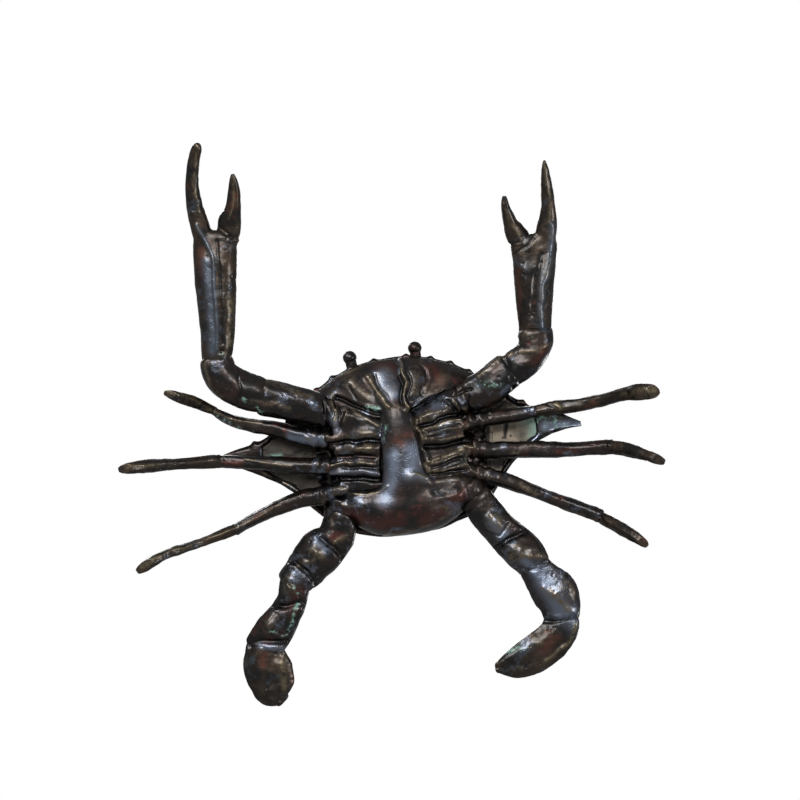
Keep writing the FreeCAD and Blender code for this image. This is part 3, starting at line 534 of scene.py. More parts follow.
# Eye: circles along its heading. The ball's radius is the root of its own squared less the way from its middle
# squared, and the stalk's is even with a flare that fades from the root.
for side_name, (across_share, along_share, heading) in eyes.items():
    outward = np.array([np.cos(np.radians(heading)), np.sin(np.radians(heading)), 0.0])
    aside = np.cross(outward, (0, 0, 1))
    root = np.array([across_share * half_span, along_share * half_length, rim_height + eye_lift])
    reach = (1 + along_share) * half_length + eye_reach
    travel = np.linspace(0, reach + eye_diameter / 2 - 0.01, 60)
    ball = np.sqrt(np.clip((eye_diameter / 2) ** 2 - (travel - reach) ** 2, 0, None))
    stalk = (stalk_diameter / 2 + stalk_flare + stalk_flare * np.exp(-travel / stalk_fade)) * (travel < reach)
    radius = np.maximum(ball, stalk)
    angle = np.linspace(0, 2 * np.pi, 64, endpoint=False)[:, None]
    rings = (root + travel[:, None, None] * outward
             + radius[:, None, None] * (np.cos(angle) * aside + np.sin(angle) * np.array([0, 0, 1.0])))
    name = "eye_ball_" + side_name
    cast(name, "eye_" + side_name, mesh_of(name, [skin(rings)]), "dark_bronze", eye_marks,
         lump_share=0.25, pit_depth=0.05, seed=7)

# The walking legs. Six legs of two pieces each, thigh and shin, shaped in wax with a knife and cast solid.
# Each is pegged into the next and brazed, which leaves a step and a lip at every knee.
half_belly = 27.0
half_trunk = 37.0
hip_drop = 6.5
hip_height = rim_height - hip_drop
foot_thickness = 2.6
foot_filing = 0.9
foot_height = foot_thickness / 2 - foot_filing
leg_thickness = 6.0
skin_step = 0.36
# A limb's round is drawn by eight poles. The smooth surface runs inside them, so they are spread a little.
round_step = 45
round_angles = np.radians(np.arange(0, 360, round_step))
round_shares = np.stack([np.cos(round_angles), np.sin(round_angles)], 1)
pole_spread = 6 / (4 + 2 * np.cos(np.radians(round_step)))
# Rows: way ahead and aside in shares of the reach, height in shares of the hip's, and width and depth in
# shares of the leg's thickness. A shin starts a little narrower than its thigh ends.
front_left_shares = [
    ("thigh", [(0.00, 0.000, 1.00, 1.20, 1.15), (0.10, 0.000, 1.02, 1.12, 1.10), (0.22, 0.002, 1.05, 1.10, 1.05),
               (0.31, 0.004, 1.07, 0.94, 0.95), (0.36, 0.002, 1.08, 0.84, 0.88)]),
    ("shin", [(0.36, 0.002, 1.08, 0.77, 0.74), (0.42, 0.000, 1.09, 0.84, 0.84), (0.48, 0.001, 1.10, 0.90, 0.88),
              (0.56, 0.006, 1.08, 1.04, 0.92), (0.66, 0.011, 1.00, 0.86, 0.84), (0.78, -0.002, 0.74, 0.85, 0.76),
              (0.85, -0.010, 0.48, 0.98, 0.68), (0.91, -0.012, 0.20, 1.07, 0.56), (0.96, -0.005, 0.00, 1.00, 0.46),
              (0.99, 0.000, 0.00, 0.78, 0.36), (1.00, 0.000, 0.00, 0.40, 0.20)]),
]
front_right_shares = [
    ("thigh", [(0.00, 0.000, 1.00, 1.25, 1.15), (0.15, -0.030, 1.03, 1.28, 1.15), (0.25, -0.028, 1.05, 1.16, 1.08),
               (0.35, -0.030, 1.07, 1.04, 1.00), (0.47, -0.052, 1.06, 0.94, 0.92), (0.57, -0.060, 1.02, 0.86, 0.86),
               (0.66, -0.045, 0.94, 0.72, 0.80), (0.72, -0.027, 0.85, 0.64, 0.74)]),
    ("shin", [(0.72, -0.027, 0.85, 0.58, 0.66), (0.78, -0.018, 0.68, 0.68, 0.60), (0.83, -0.010, 0.48, 0.88, 0.55),
              (0.88, -0.006, 0.26, 0.88, 0.48), (0.93, -0.003, 0.04, 0.76, 0.44), (0.97, 0.000, 0.00, 0.56, 0.40),
              (1.00, 0.000, 0.00, 0.26, 0.20)]),
]
middle_left_shares = [
    ("thigh", [(0.00, 0.000, 1.00, 1.25, 1.15), (0.14, 0.005, 1.03, 1.26, 1.15), (0.25, -0.008, 1.06, 1.12, 1.05),
               (0.37, -0.020, 1.09, 1.22, 1.10), (0.50, -0.022, 1.10, 1.05, 1.00), (0.60, -0.034, 1.07, 1.02, 0.95),
               (0.70, -0.050, 0.97, 1.10, 0.95), (0.75, -0.056, 0.88, 1.08, 0.92)]),
    ("shin", [(0.75, -0.056, 0.88, 0.97, 0.84), (0.80, -0.054, 0.72, 0.98, 0.78), (0.86, -0.044, 0.44, 0.94, 0.68),
              (0.91, -0.030, 0.18, 0.85, 0.58), (0.95, -0.016, 0.00, 0.80, 0.48), (0.98, -0.005, 0.00, 0.68, 0.42),
              (1.00, 0.000, 0.00, 0.42, 0.22)]),
]
middle_right_shares = [
    ("thigh", [(0.00, 0.000, 1.00, 1.15, 1.10), (0.14, 0.001, 1.03, 1.12, 1.08), (0.32, 0.018, 1.06, 1.04, 1.00),
               (0.45, 0.023, 1.08, 0.92, 0.90), (0.51, 0.026, 1.08, 1.00, 0.95), (0.55, 0.027, 1.07, 1.02, 0.95)]),
    ("shin", [(0.55, 0.027, 1.07, 0.92, 0.86), (0.67, 0.018, 0.95, 0.84, 0.80), (0.80, 0.016, 0.60, 0.90, 0.75),
              (0.87, 0.014, 0.32, 0.90, 0.66), (0.92, 0.011, 0.10, 0.86, 0.54), (0.96, 0.007, 0.00, 0.80, 0.44),
              (0.99, 0.002, 0.00, 0.64, 0.34), (1.00, 0.000, 0.00, 0.38, 0.20)]),
]
rear_left_shares = [
    ("thigh", [(0.00, 0.000, 1.00, 1.20, 1.15), (0.15, -0.028, 1.04, 1.15, 1.10), (0.26, -0.035, 1.07, 1.04, 1.00),
               (0.44, -0.028, 1.09, 0.86, 0.90), (0.54, -0.035, 1.06, 1.03, 0.95), (0.64, -0.043, 0.98, 0.95, 0.90),
               (0.73, -0.045, 0.84, 0.92, 0.85)]),
    ("shin", [(0.73, -0.045, 0.84, 0.84, 0.77), (0.81, -0.036, 0.58, 0.86, 0.75), (0.87, -0.031, 0.34, 0.82, 0.68),
              (0.92, -0.022, 0.12, 0.76, 0.58), (0.96, -0.011, 0.00, 0.72, 0.48), (0.99, -0.003, 0.00, 0.58, 0.40),
              (1.00, 0.000, 0.00, 0.38, 0.24)]),
]
rear_right_shares = [
    ("thigh", [(0.00, 0.000, 1.00, 1.20, 1.15), (0.09, 0.012, 1.02, 1.34, 1.20), (0.18, 0.032, 1.05, 1.22, 1.10),
               (0.34, 0.030, 1.08, 0.88, 0.90), (0.44, 0.018, 1.07, 0.85, 0.88), (0.52, 0.006, 1.04, 0.86, 0.86)]),
    ("shin", [(0.52, 0.006, 1.04, 0.78, 0.78), (0.66, 0.005, 0.88, 0.68, 0.66), (0.75, 0.014, 0.64, 0.62, 0.62),
              (0.83, 0.024, 0.36, 0.60, 0.56), (0.89, 0.022, 0.12, 0.64, 0.50), (0.94, 0.012, 0.00, 0.70, 0.44),
              (0.98, 0.004, 0.00, 0.62, 0.38), (1.00, 0.000, 0.00, 0.40, 0.24)]),
]
# Legs: root in shares of the belly's half width and the trunk's half length, heading in degrees, reach in
# millimetres, and the rows.
walking_legs = [
    ("front_leg_left", (1.11, -0.146), -1, 77.2, front_left_shares),
    ("front_leg_right", (-1.11, -0.173), -155, 67.6, front_right_shares),
    ("middle_leg_left", (1.11, 0.162), 12, 77.3, middle_left_shares),
    ("middle_leg_right", (-1.11, 0.135), -172, 85.4, middle_right_shares),
    ("rear_leg_left", (1.11, 0.446), 31, 74.5, rear_left_shares),
    ("rear_leg_right", (-1.11, 0.432), 167, 85.1, rear_right_shares),
]
# Looks: finish, rounding of both lips in millimetres, and the rings cut round the piece, with the place along
# it, counted from its end where negative, the half width and the height.
leg_looks = {
    "thigh": ("dark_bronze", (0.8, 1.3), [(1.5, 0.7, 0.45), (4.0, 0.6, -0.40), (6.0, 0.7, 0.40), (9.0, 0.7, -0.25),
                                          (-2.5, 0.7, -0.12)]),
    "shin": ("rubbed_bronze", (0.8, 0.4), [(2.0, 0.7, -0.12)]),
}
# Leg marks: the rubbed marks are worn metal with painted highlights, the bluish-grey mark painted sheen, and dark marks
# painted shade in creases.
leg_marks = [
    ("green", 1.5, 0.10, [(216, 416), (240, 428)]),
    ("wear_and_highlight", 2.2, 0.15, [(168, 391), (190, 396), (200, 403)]),
    ("wear_and_highlight", 1.3, 0.20, [(207, 410), (235, 420), (262, 423)]),
    ("green", 2.2, 0.15, [(250, 433), (254, 434)]),
    ("painted_sheen", 3.5, 0.0, [(290, 437), (330, 443)]),
    ("wear_and_highlight", 1.6, 0.20, [(304, 437), (312, 441)]),
    ("wear_and_highlight", 1.3, 0.25, [(245, 460), (293, 466)]),
    ("wear_and_highlight", 1.6, 0.15, [(126, 467), (160, 464)]),
    ("red", 3.0, 0.0, [(225, 463), (240, 464)]),
    ("red", 2.5, 0.1, [(328, 468), (334, 468)]),
    ("wear_and_highlight", 1.2, 0.25, [(164, 553), (232, 530)]),
    ("wear_and_highlight", 1.2, 0.25, [(235, 528), (279, 506)]),
    ("wear_and_highlight", 2.4, 0.15, [(140, 567), (160, 556)]),
    ("dark", 1.2, -0.30, [(544, 404), (556, 408)]),
    ("wear_and_highlight", 2.6, 0.10, [(556, 403), (560, 407)]),
    ("wear_and_highlight", 2.6, 0.05, [(622, 395), (654, 389)]),
    ("dark", 1.3, -0.60, [(647, 397)]),
    ("red", 2.6, -0.10, [(558, 452), (576, 452)]),
    ("wear_and_highlight", 1.5, 0.15, [(511, 453), (519, 453)]),
    ("green", 2.5, 0.10, [(500, 462), (505, 462)]),
    ("wear_and_highlight", 2.8, 0.10, [(522, 484), (535, 495)]),
    ("wear_and_highlight", 1.2, 0.20, [(556, 506), (596, 521)]),
    ("dark", 1.2, -0.30, [(600, 516), (606, 523)]),
]


def weights(knots, at):
    """Shares of a cubic B-spline's poles at given places: steps of nought and one on the runs
    between knots, raised three times, each time as a mean of neighbours by their nearness."""
    shares = [((low <= at) & (at < high)).astype(float) for low, high in zip(knots, knots[1:])]
    for degree in (1, 2, 3):
        rising = [(at - knots[i]) / max(knots[i + degree] - knots[i], 1e-9) for i in range(len(shares))]
        shares = [rising[i] * shares[i] + (1 - rising[i + 1]) * shares[i + 1] for i in range(len(shares) - 1)]
    return np.stack(shares, 1)


def limb_line(root, heading, reach, low, pieces, start_direction=None):
    """Places of a limb's rows, which are its root plus shares along and aside of its heading,
    and its direction at each, which is the way from the place before to the place after."""
    turn = np.radians(heading)
    ahead = np.array([np.cos(turn), np.sin(turn), 0.0])
    aside = np.array([-np.sin(turn), np.cos(turn), 0.0])
    rows = np.array(pieces[0][1] + [row for name, piece_rows in pieces[1:] for row in piece_rows[1:]])
    places = np.append(root[:2], 0.0) + (ahead * rows[:, :1] + aside * rows[:, 1:2]) * reach
    places[:, 2] = low + rows[:, 2] * (hip_height - low)
    around = np.concatenate([places[:1], places, places[-1:]])
    directions = around[2:] - around[:-2]
    directions /= np.linalg.norm(directions, axis=1, keepdims=True)
    if start_direction is not None:
        directions[0] = start_direction
    return places, directions


def dome(rings, direction, lip, at_end):
    """Rounded end of a tube: copies of its last ring shrink to the middle by the cosine of an
    angle, to the power 0.7, as they move on by the sine of the same angle times the lip."""
    ring = rings[-1] if at_end else rings[0]
    angle = np.radians([20, 40, 58, 73, 84])[:, None, None]
    middle = ring.mean(0)
    onward = direction * (1 if at_end else -1)
    caps = middle + (ring - middle) * np.cos(angle) ** 0.7 + onward * lip * np.sin(angle)
    return np.concatenate([rings, caps]) if at_end else np.concatenate([caps[::-1], rings])


def tube(places, directions, rows, width, depth, lips, outline=round_shares):
    """Smooth limb: a net of poles, spread along the width and the depth across the limb's
    direction, carries a cubic B-spline surface that is clamped along and goes round and round."""
    rows = np.array(rows)
    across = np.cross(directions, (0, 0, 1.0))
    across /= np.linalg.norm(across, axis=1, keepdims=True)
    rise = np.cross(across, directions)
    wide = pole_spread / 2 * width * rows[:, 3, None] * outline[:, 0]
    deep = pole_spread / 2 * depth * rows[:, 4, None] * outline[:, 1]
    poles = places[:, None] + across[:, None] * wide[..., None] + rise[:, None] * deep[..., None]
    spans = len(rows) - 3
    length = np.linalg.norm(np.diff(places, axis=0), axis=1).sum()
    steps = np.linspace(0, spans - 1e-6, int(length / skin_step))
    along = weights([0] * 4 + list(range(1, spans)) + [spans] * 4, steps)
    count = len(outline)
    girth = np.pi / 2 * (width * rows[:, 3].max() + depth * rows[:, 4].max())
    turns = np.linspace(0, count, int(girth / skin_step), endpoint=False)
    round_about = weights(list(range(-3, count + 4)), turns)
    round_about[:, :3] += round_about[:, count:]
    rings = np.einsum("vi,uj,ijk->vuk", along, round_about[:, :count], poles)
    return dome(dome(rings, directions[0], lips[0], False), directions[-1], lips[1], True)


knife_flats = 5
knife_twist = 14.0


def bands(rings, table, facets):
    """Height of the rings cut round a limb: bell curves of the distance along it, counted from
    its end where negative, and shallow flats left by the knife, as a cosine of the angle."""
    middles = rings.mean(1)
    travel = np.concatenate([[0], np.cumsum(np.linalg.norm(np.diff(middles, axis=0), axis=1))])
    height = np.zeros(rings.shape[:2])
    for at, half_width, tall in table:
        place = at if at > 0 else travel[-1] + at
        height += tall * np.exp(-((travel - place) / half_width) ** 2)[:, None]
    angle = np.linspace(0, 2 * np.pi, rings.shape[1], endpoint=False)
    return (height + facets * np.cos(knife_flats * angle + travel[:, None] / knife_twist)).ravel()


def limb(cast_name, node, line, pieces, thickness, looks, marks, lump_share, pit_depth, facets, seed):
    """Casts a limb's pieces: each takes its own rows of the limb's line, and starts in the row
    that the one before it ends in."""
    places, directions = line
    first = 0
    for part_name, rows in pieces:
        slot, lips, cuts = looks[part_name]
        last = first + len(rows)
        rings = tube(places[first:last], directions[first:last], rows, thickness, thickness, lips)
        name = cast_name % part_name
        cast(name, node % part_name, mesh_of(name, [skin(rings)]), slot, marks, lump_share, pit_depth,
             seed + first, bands(rings, cuts, facets))
        first = last - 1


# Bronze rubbed by handling: warmer and a little duller than the waxed patina, with the same painted sheen,
# painted highlights and painted shade.
finishes["rubbed_bronze"] = patina("rubbed bronze, worn patina", {
    "brown": "#0f0d0b", "warm": "#241c15", "red": "#382017", "painted_sheen": "#31363d", "wear_and_highlight": "#484030",
    "dark": "#060505", "green": "#4f6a60"}, 0.26)
leg_boss = 8.4
belly_bosses = []
for name, shares, heading, reach, pieces in walking_legs:
    root = np.array([shares[0] * half_belly, shares[1] * half_trunk])
    line = limb_line(root, heading, reach, foot_height, pieces)
    belly_bosses.append((line[0][0], line[1][0], leg_boss))
    limb(name + "_%s_cast", name + "_%s", line, pieces, leg_thickness, leg_looks, leg_marks,
         lump_share=1.15, pit_depth=0.35, facets=0.10, seed=11)

# The swimming legs. The rear pair, three broad flat pieces each that end in a paddle. They were cast in lumps
# with folds between them: painted highlights lie on the folds, painted shade in the creases, and verdigris sits in the
# folds.
swim_thickness = 16.0
swim_left_shares = [
    ("thigh", [(0.00, 0.000, 1.00, 0.84, 0.60), (0.08, -0.041, 1.00, 0.93, 0.64), (0.17, -0.090, 0.99, 0.95, 0.64),
               (0.22, -0.130, 0.98, 0.92, 0.62), (0.29, -0.190, 0.97, 1.01, 0.64), (0.37, -0.256, 0.95, 1.10, 0.60),
               (0.44, -0.284, 0.93, 0.94, 0.52)]),
    ("shank", [(0.44, -0.284, 0.93, 0.82, 0.44), (0.48, -0.305, 0.92, 0.90, 0.47), (0.53, -0.332, 0.91, 1.02, 0.48),
               (0.59, -0.382, 0.88, 1.24, 0.44), (0.66, -0.407, 0.86, 1.18, 0.38), (0.71, -0.411, 0.84, 1.04, 0.34),
               (0.75, -0.409, 0.83, 0.98, 0.32)]),
    ("paddle", [(0.75, -0.409, 0.83, 0.90, 0.24), (0.81, -0.408, 0.82, 1.00, 0.27), (0.885, -0.362, 0.79, 1.06, 0.28),
                (0.95, -0.238, 0.76, 1.02, 0.26), (0.985, -0.142, 0.74, 0.90, 0.22), (1.00, -0.062, 0.72, 0.68, 0.16),
                (1.00, -0.006, 0.72, 0.30, 0.10)]),
]
swim_right_shares = [
    ("thigh", [(0.00, 0.000, 1.00, 0.88, 0.60), (0.04, -0.003, 1.00, 0.97, 0.64), (0.11, -0.016, 0.99, 1.00, 0.64),
               (0.17, 0.015, 0.98, 1.12, 0.66), (0.23, 0.054, 0.97, 1.26, 0.66), (0.30, 0.087, 0.95, 1.10, 0.60),
               (0.36, 0.112, 0.94, 1.02, 0.54), (0.40, 0.129, 0.93, 0.96, 0.50)]),
    ("shank", [(0.40, 0.129, 0.93, 0.82, 0.44), (0.45, 0.122, 0.92, 0.82, 0.45), (0.50, 0.112, 0.91, 0.76, 0.44),
               (0.58, 0.126, 0.88, 0.86, 0.44), (0.64, 0.146, 0.86, 0.98, 0.42), (0.69, 0.172, 0.85, 1.08, 0.38),
               (0.75, 0.183, 0.83, 1.02, 0.32)]),
    ("paddle", [(0.75, 0.183, 0.83, 0.94, 0.24), (0.80, 0.168, 0.81, 1.10, 0.27), (0.86, 0.138, 0.79, 1.27, 0.28),
                (0.925, 0.094, 0.77, 1.25, 0.25), (0.965, 0.056, 0.75, 1.10, 0.20), (0.985, 0.034, 0.73, 0.80, 0.14),
                (0.993, 0.018, 0.72, 0.42, 0.10)]),
]
swim_legs = [
    ("swim_leg_left", (1.04, 0.70), 91, 71.9, swim_left_shares),
    ("swim_leg_right", (-1.04, 0.68), 115, 81.6, swim_right_shares),
]
swim_looks = {
    "thigh": ("dark_bronze", (2.5, 3.2), [(3.0, 1.0, 0.2), (5.5, 0.9, -0.2)]),
    "shank": ("dark_bronze", (2.5, 3.2), [(3.0, 0.9, -0.2)]),
    "paddle": ("rubbed_bronze", (2.5, 1.4), [(3.2, 1.0, -0.2)]),
}
# Swim leg marks: bluish-grey marks are painted sheen, the rubbed marks painted highlights on the folds, and dark marks
# painted shade in the creases.
swim_marks = [
    ("painted_sheen", 10.0, 0.0, [(540, 572), (556, 600), (572, 622)]),
    ("painted_sheen", 6.0, 0.0, [(494, 522), (504, 536)]),
    ("painted_sheen", 5.0, 0.0, [(524, 560), (536, 570)]),
    ("painted_sheen", 5.0, 0.0, [(318, 540), (326, 548)]),
    ("red", 5.0, 0.0, [(300, 590), (292, 610)]),
    ("dark", 3.0, -1.3, [(322, 540), (334, 548), (346, 562)]),
    ("dark", 3.0, -1.3, [(290, 560), (306, 572), (316, 584)]),
    ("dark", 3.0, -1.2, [(272, 606), (288, 606), (306, 604)]),
    ("dark", 2.6, -1.2, [(244, 644), (264, 640), (288, 642)]),
    ("plain", 7.0, 1.5, [(316, 552)]),
    ("plain", 8.0, 1.5, [(290, 588)]),
    ("plain", 8.0, 1.4, [(268, 626)]),
    ("dark", 3.0, -1.3, [(494, 548), (508, 540), (526, 532)]),
    ("plain", 8.0, 1.5, [(494, 522)]),
    ("plain", 8.0, 1.5, [(520, 552)]),
    ("plain", 9.0, 1.3, [(560, 594)]),
    ("wear_and_highlight", 2.0, 0.30, [(331, 520), (332, 526)]),
    ("wear_and_highlight", 2.4, 0.35, [(333, 545), (340, 540), (345, 537)]),
    ("wear_and_highlight", 3.5, 0.25, [(316, 552), (322, 556)]),
    ("wear_and_highlight", 2.4, 0.40, [(296, 567), (306, 563), (314, 561)]),
    ("green", 1.6, -0.35, [(291, 583), (297, 591), (302, 600)]),
    ("green", 1.6, -0.30, [(302, 600), (294, 611), (293, 620), (286, 634)]),
    ("green", 1.5, -0.40, [(270, 630), (283, 635)]),
    ("painted_sheen", 3.0, 0.30, [(260, 646), (272, 647), (283, 650)]),
    ("wear_and_highlight", 2.8, 0.20, [(282, 664), (284, 690)]),
    ("red", 2.4, 0.0, [(292, 678), (295, 694)]),
    ("red", 4.0, 0.0, [(268, 640), (262, 660)]),
    ("wear_and_highlight", 4.0, 0.40, [(493, 517), (501, 526)]),
    ("dark", 1.5, -0.45, [(486, 530), (500, 535), (508, 524)]),
    ("wear_and_highlight", 2.8, 0.45, [(512, 556), (528, 557), (546, 556)]),
    ("dark", 1.6, -0.45, [(517, 570), (534, 569), (550, 562)]),
    ("wear_and_highlight", 3.2, 0.35, [(545, 588), (560, 600), (570, 612)]),
    ("dark", 1.8, -0.50, [(543, 622), (562, 621), (580, 615)]),
    ("red", 5.0, 0.0, [(556, 600), (566, 608)]),
    ("red", 5.0, 0.0, [(556, 640), (540, 652)]),
    ("wear_and_highlight", 1.8, 0.25, [(575, 625), (570, 642), (545, 662)]),
    ("green", 1.8, -0.10, [(505, 652), (520, 648)]),
]
swim_boss = 13.0
tail_bosses = []
for name, shares, heading, reach, pieces in swim_legs:
    root = np.array([shares[0] * half_belly, shares[1] * half_trunk])
    line = limb_line(root, heading, reach, 0, pieces)
    tail_bosses.append((line[0][0], line[1][0], swim_boss))
    limb(name + "_%s_cast", name + "_%s", line, pieces, swim_thickness, swim_looks, swim_marks,
         lump_share=1.5, pit_depth=0.25, facets=0.2, seed=31)

# The arms and wrists. The first joint of each claw: a thick arm out of the shoulder and a curled wrist that holds
# the palm. Shoulder and elbow show the fine rings of the turned wax.
arm_thickness = 14.5
arm_gap_share = 0.935
arm_gap = arm_gap_share * (arm_thickness + leg_thickness) / 2
arm_left_shares = [
    ("arm", [(0.00, 0.000, 1.00, 0.76, 0.66), (0.07, 0.026, 0.97, 0.90, 0.72), (0.16, 0.058, 0.94, 1.02, 0.76),
             (0.26, 0.082, 0.91, 1.05, 0.78), (0.36, 0.094, 0.89, 1.08, 0.80), (0.46, 0.093, 0.87, 1.10, 0.80),
             (0.56, 0.092, 0.86, 1.08, 0.80)]),
    ("wrist", [(0.56, 0.092, 0.86, 0.96, 0.72), (0.65, 0.103, 0.85, 1.04, 0.80), (0.74, 0.110, 0.84, 1.00, 0.82),
               (0.84, 0.102, 0.82, 0.94, 0.80), (0.92, 0.066, 0.80, 0.98, 0.76), (0.97, 0.022, 0.79, 1.06, 0.72),
               (1.00, -0.030, 0.78, 1.04, 0.68)]),
]
arm_right_shares = [
    ("arm", [(0.00, 0.000, 1.00, 0.76, 0.66), (0.07, -0.006, 0.97, 0.90, 0.72), (0.15, -0.014, 0.94, 1.00, 0.76),
             (0.26, -0.034, 0.91, 1.01, 0.78), (0.37, -0.060, 0.89, 1.02, 0.80), (0.46, -0.081, 0.87, 1.06, 0.80),
             (0.54, -0.100, 0.86, 1.07, 0.80)]),
    ("wrist", [(0.54, -0.100, 0.86, 0.94, 0.72), (0.62, -0.112, 0.85, 1.06, 0.80), (0.70, -0.126, 0.84, 1.12, 0.84),
               (0.78, -0.128, 0.83, 1.10, 0.84), (0.86, -0.121, 0.82, 1.08, 0.82), (0.93, -0.100, 0.80, 1.06, 0.78),
               (0.97, -0.066, 0.79, 1.04, 0.72), (1.00, -0.020, 0.78, 0.98, 0.68)]),
]
arms = {"left": ((0.96, -0.146), -30, 43.3, arm_left_shares), "right": ((-0.96, -0.173), -146, 53.3, arm_right_shares)}
arm_looks = {
    "arm": ("dark_bronze", (2.5, 3.4), [(2.0, 0.6, 0.25), (3.6, 0.6, -0.2), (5.0, 0.6, 0.25), (7.0, 0.9, -0.3)]),
    "wrist": ("dark_bronze", (2.5, 3.4), [(3.2, 1.0, -0.2)]),
}
# Shoulder marks: the rings are painted highlights on the rubbed marks and painted shade on the dark marks, and
# bluish-grey marks are painted sheen.
shoulder_marks = [
    ("wear_and_highlight", 1.4, 0.60, [(333, 402), (337, 412), (334, 426)]),
    ("dark", 1.1, -0.60, [(338, 401), (342, 412), (339, 428)]),
    ("wear_and_highlight", 1.4, 0.60, [(343, 403), (346, 411), (343, 420)]),
    ("dark", 1.1, -0.50, [(349, 404), (351, 411)]),
    ("painted_sheen", 3.5, 0.80, [(333, 420), (336, 430)]),
    ("dark", 1.8, -1.00, [(325, 402), (327, 418), (331, 434)]),
    ("painted_sheen", 3.2, 1.10, [(458, 400), (462, 404)]),
    ("dark", 1.8, -1.10, [(448, 402), (454, 411), (464, 417)]),
    ("dark", 1.5, -0.90, [(454, 396), (463, 391), (471, 389)]),
    ("dark", 1.5, -0.90, [(468, 397), (466, 407), (473, 414)]),
    ("wear_and_highlight", 1.4, 0.50, [(452, 399), (457, 395)]),
    ("wear_and_highlight", 1.4, 0.50, [(460, 409), (467, 411)]),
]
# Arm marks: the rubbed marks are worn edges with painted highlights, and dark marks painted shade in the creases.
arm_marks = shoulder_marks + [
    ("wear_and_highlight", 2.0, 0.25, [(262, 377), (288, 390), (312, 398)]),
    ("wear_and_highlight", 1.6, 0.25, [(204, 365), (210, 385), (222, 398)]),
    ("dark", 1.6, -0.40, [(238, 368), (240, 390), (236, 409)]),
    ("green", 2.0, 0.0, [(240, 395), (262, 412)]),
    ("wear_and_highlight", 2.4, 0.20, [(250, 400), (290, 408)]),
    ("wear_and_highlight", 1.8, 0.25, [(478, 376), (498, 360), (512, 352)]),
    ("dark", 1.6, -0.40, [(503, 352), (510, 370), (514, 390)]),
    ("green", 2.4, 0.0, [(482, 384), (500, 384)]),
    ("wear_and_highlight", 2.0, 0.20, [(520, 352), (536, 352), (548, 344)]),
    ("red", 4.0, 0.0, [(535, 362), (545, 350)]),
]
arm_boss = 12.4
wrists = {}
for side_name, (shares, heading, reach, pieces) in arms.items():
    root = np.array([shares[0] * half_belly, shares[1] * half_trunk - arm_gap])
    line = limb_line(root, heading, reach, 0, pieces)
    belly_bosses.append((line[0][0], line[1][0], arm_boss))
    wrists[side_name] = (line[0][-1], line[1][-1])
    limb("claw_%s_cast_" + side_name, "claw_%s_" + side_name, line, pieces, arm_thickness, arm_looks, arm_marks,
         lump_share=1.2, pit_depth=0.25, facets=0.15, seed=41)

# The claws. Long palms with two keels along the underside, each cast in one with its long finger. The
# short finger is a piece of its own, brazed in beside it. Handling has rubbed both.
palm_width = 17.0
palm_depth = 10.5
# Outline of a palm: poles round it in shares of the half width and the half depth, with two keels below. Rows
# are as for the legs, in shares of the palm's own reach, width and depth.
keeled_shares = np.array([(1.00, 0.00), (0.78, 0.62), (0.30, 0.92), (-0.30, 0.92), (-0.80, 0.60), (-1.00, 0.00),
                          (-0.72, -0.62), (-0.28, -0.96), (0.02, -0.72), (0.34, -0.88), (0.78, -0.58)])
palm_left_rows = [
    (0.00, 0.00, 0.78, 0.80, 0.84), (0.10, 0.00, 0.77, 0.78, 0.86), (0.24, -0.01, 0.76, 0.86, 0.92),
    (0.42, -0.01, 0.74, 0.96, 1.00), (0.62, 0.00, 0.71, 0.98, 1.00), (0.80, 0.00, 0.68, 1.04, 0.92),
    (1.00, 0.00, 0.64, 1.14, 0.74)]
palm_right_rows = [
    (0.00, 0.00, 0.78, 0.70, 0.84), (0.06, 0.00, 0.77, 0.78, 0.86), (0.24, 0.02, 0.75, 0.84, 0.92),
    (0.45, 0.01, 0.72, 0.94, 1.00), (0.66, 0.00, 0.69, 1.02, 1.00), (0.84, 0.00, 0.66, 1.06, 0.90),
    (1.00, 0.00, 0.63, 1.06, 0.74)]
long_finger_left_rows = [
    (0.00, 0.000, 0.64, 0.52, 0.66), (0.14, 0.012, 0.60, 0.56, 0.62), (0.28, 0.040, 0.53, 0.48, 0.56),
    (0.45, 0.045, 0.43, 0.38, 0.48), (0.62, 0.034, 0.33, 0.33, 0.40), (0.82, 0.016, 0.21, 0.25, 0.32),
    (0.95, 0.004, 0.13, 0.18, 0.20), (1.00, 0.000, 0.10, 0.10, 0.10)]
long_finger_right_rows = [
    (0.00, 0.000, 0.63, 0.50, 0.66), (0.17, -0.034, 0.58, 0.49, 0.62), (0.33, -0.080, 0.51, 0.42, 0.54),
    (0.54, -0.104, 0.40, 0.38, 0.46), (0.74, -0.086, 0.28, 0.34, 0.38), (0.92, -0.034, 0.16, 0.32, 0.30),
    (0.98, -0.006, 0.12, 0.26, 0.24), (1.00, 0.000, 0.10, 0.14, 0.14)]
short_finger_left_rows = [
    (0.00, 0.000, 0.64, 0.52, 0.62), (0.12, -0.010, 0.61, 0.60, 0.60), (0.28, -0.050, 0.57, 0.50, 0.54),
    (0.38, -0.058, 0.53, 0.47, 0.50), (0.46, -0.072, 0.50, 0.34, 0.46), (0.60, -0.068, 0.44, 0.31, 0.40),
    (0.76, -0.064, 0.37, 0.22, 0.32), (0.92, -0.036, 0.30, 0.17, 0.22), (1.00, -0.006, 0.27, 0.09, 0.10)]
short_finger_right_rows = [
    (0.00, 0.000, 0.63, 0.58, 0.62), (0.10, 0.000, 0.60, 0.60, 0.60), (0.24, 0.006, 0.55, 0.58, 0.54),
    (0.36, 0.016, 0.50, 0.56, 0.50), (0.44, 0.046, 0.46, 0.40, 0.46), (0.62, 0.050, 0.38, 0.37, 0.38),
    (0.82, 0.042, 0.29, 0.28, 0.28), (0.95, 0.016, 0.23, 0.17, 0.18), (1.00, 0.004, 0.21, 0.08, 0.10)]
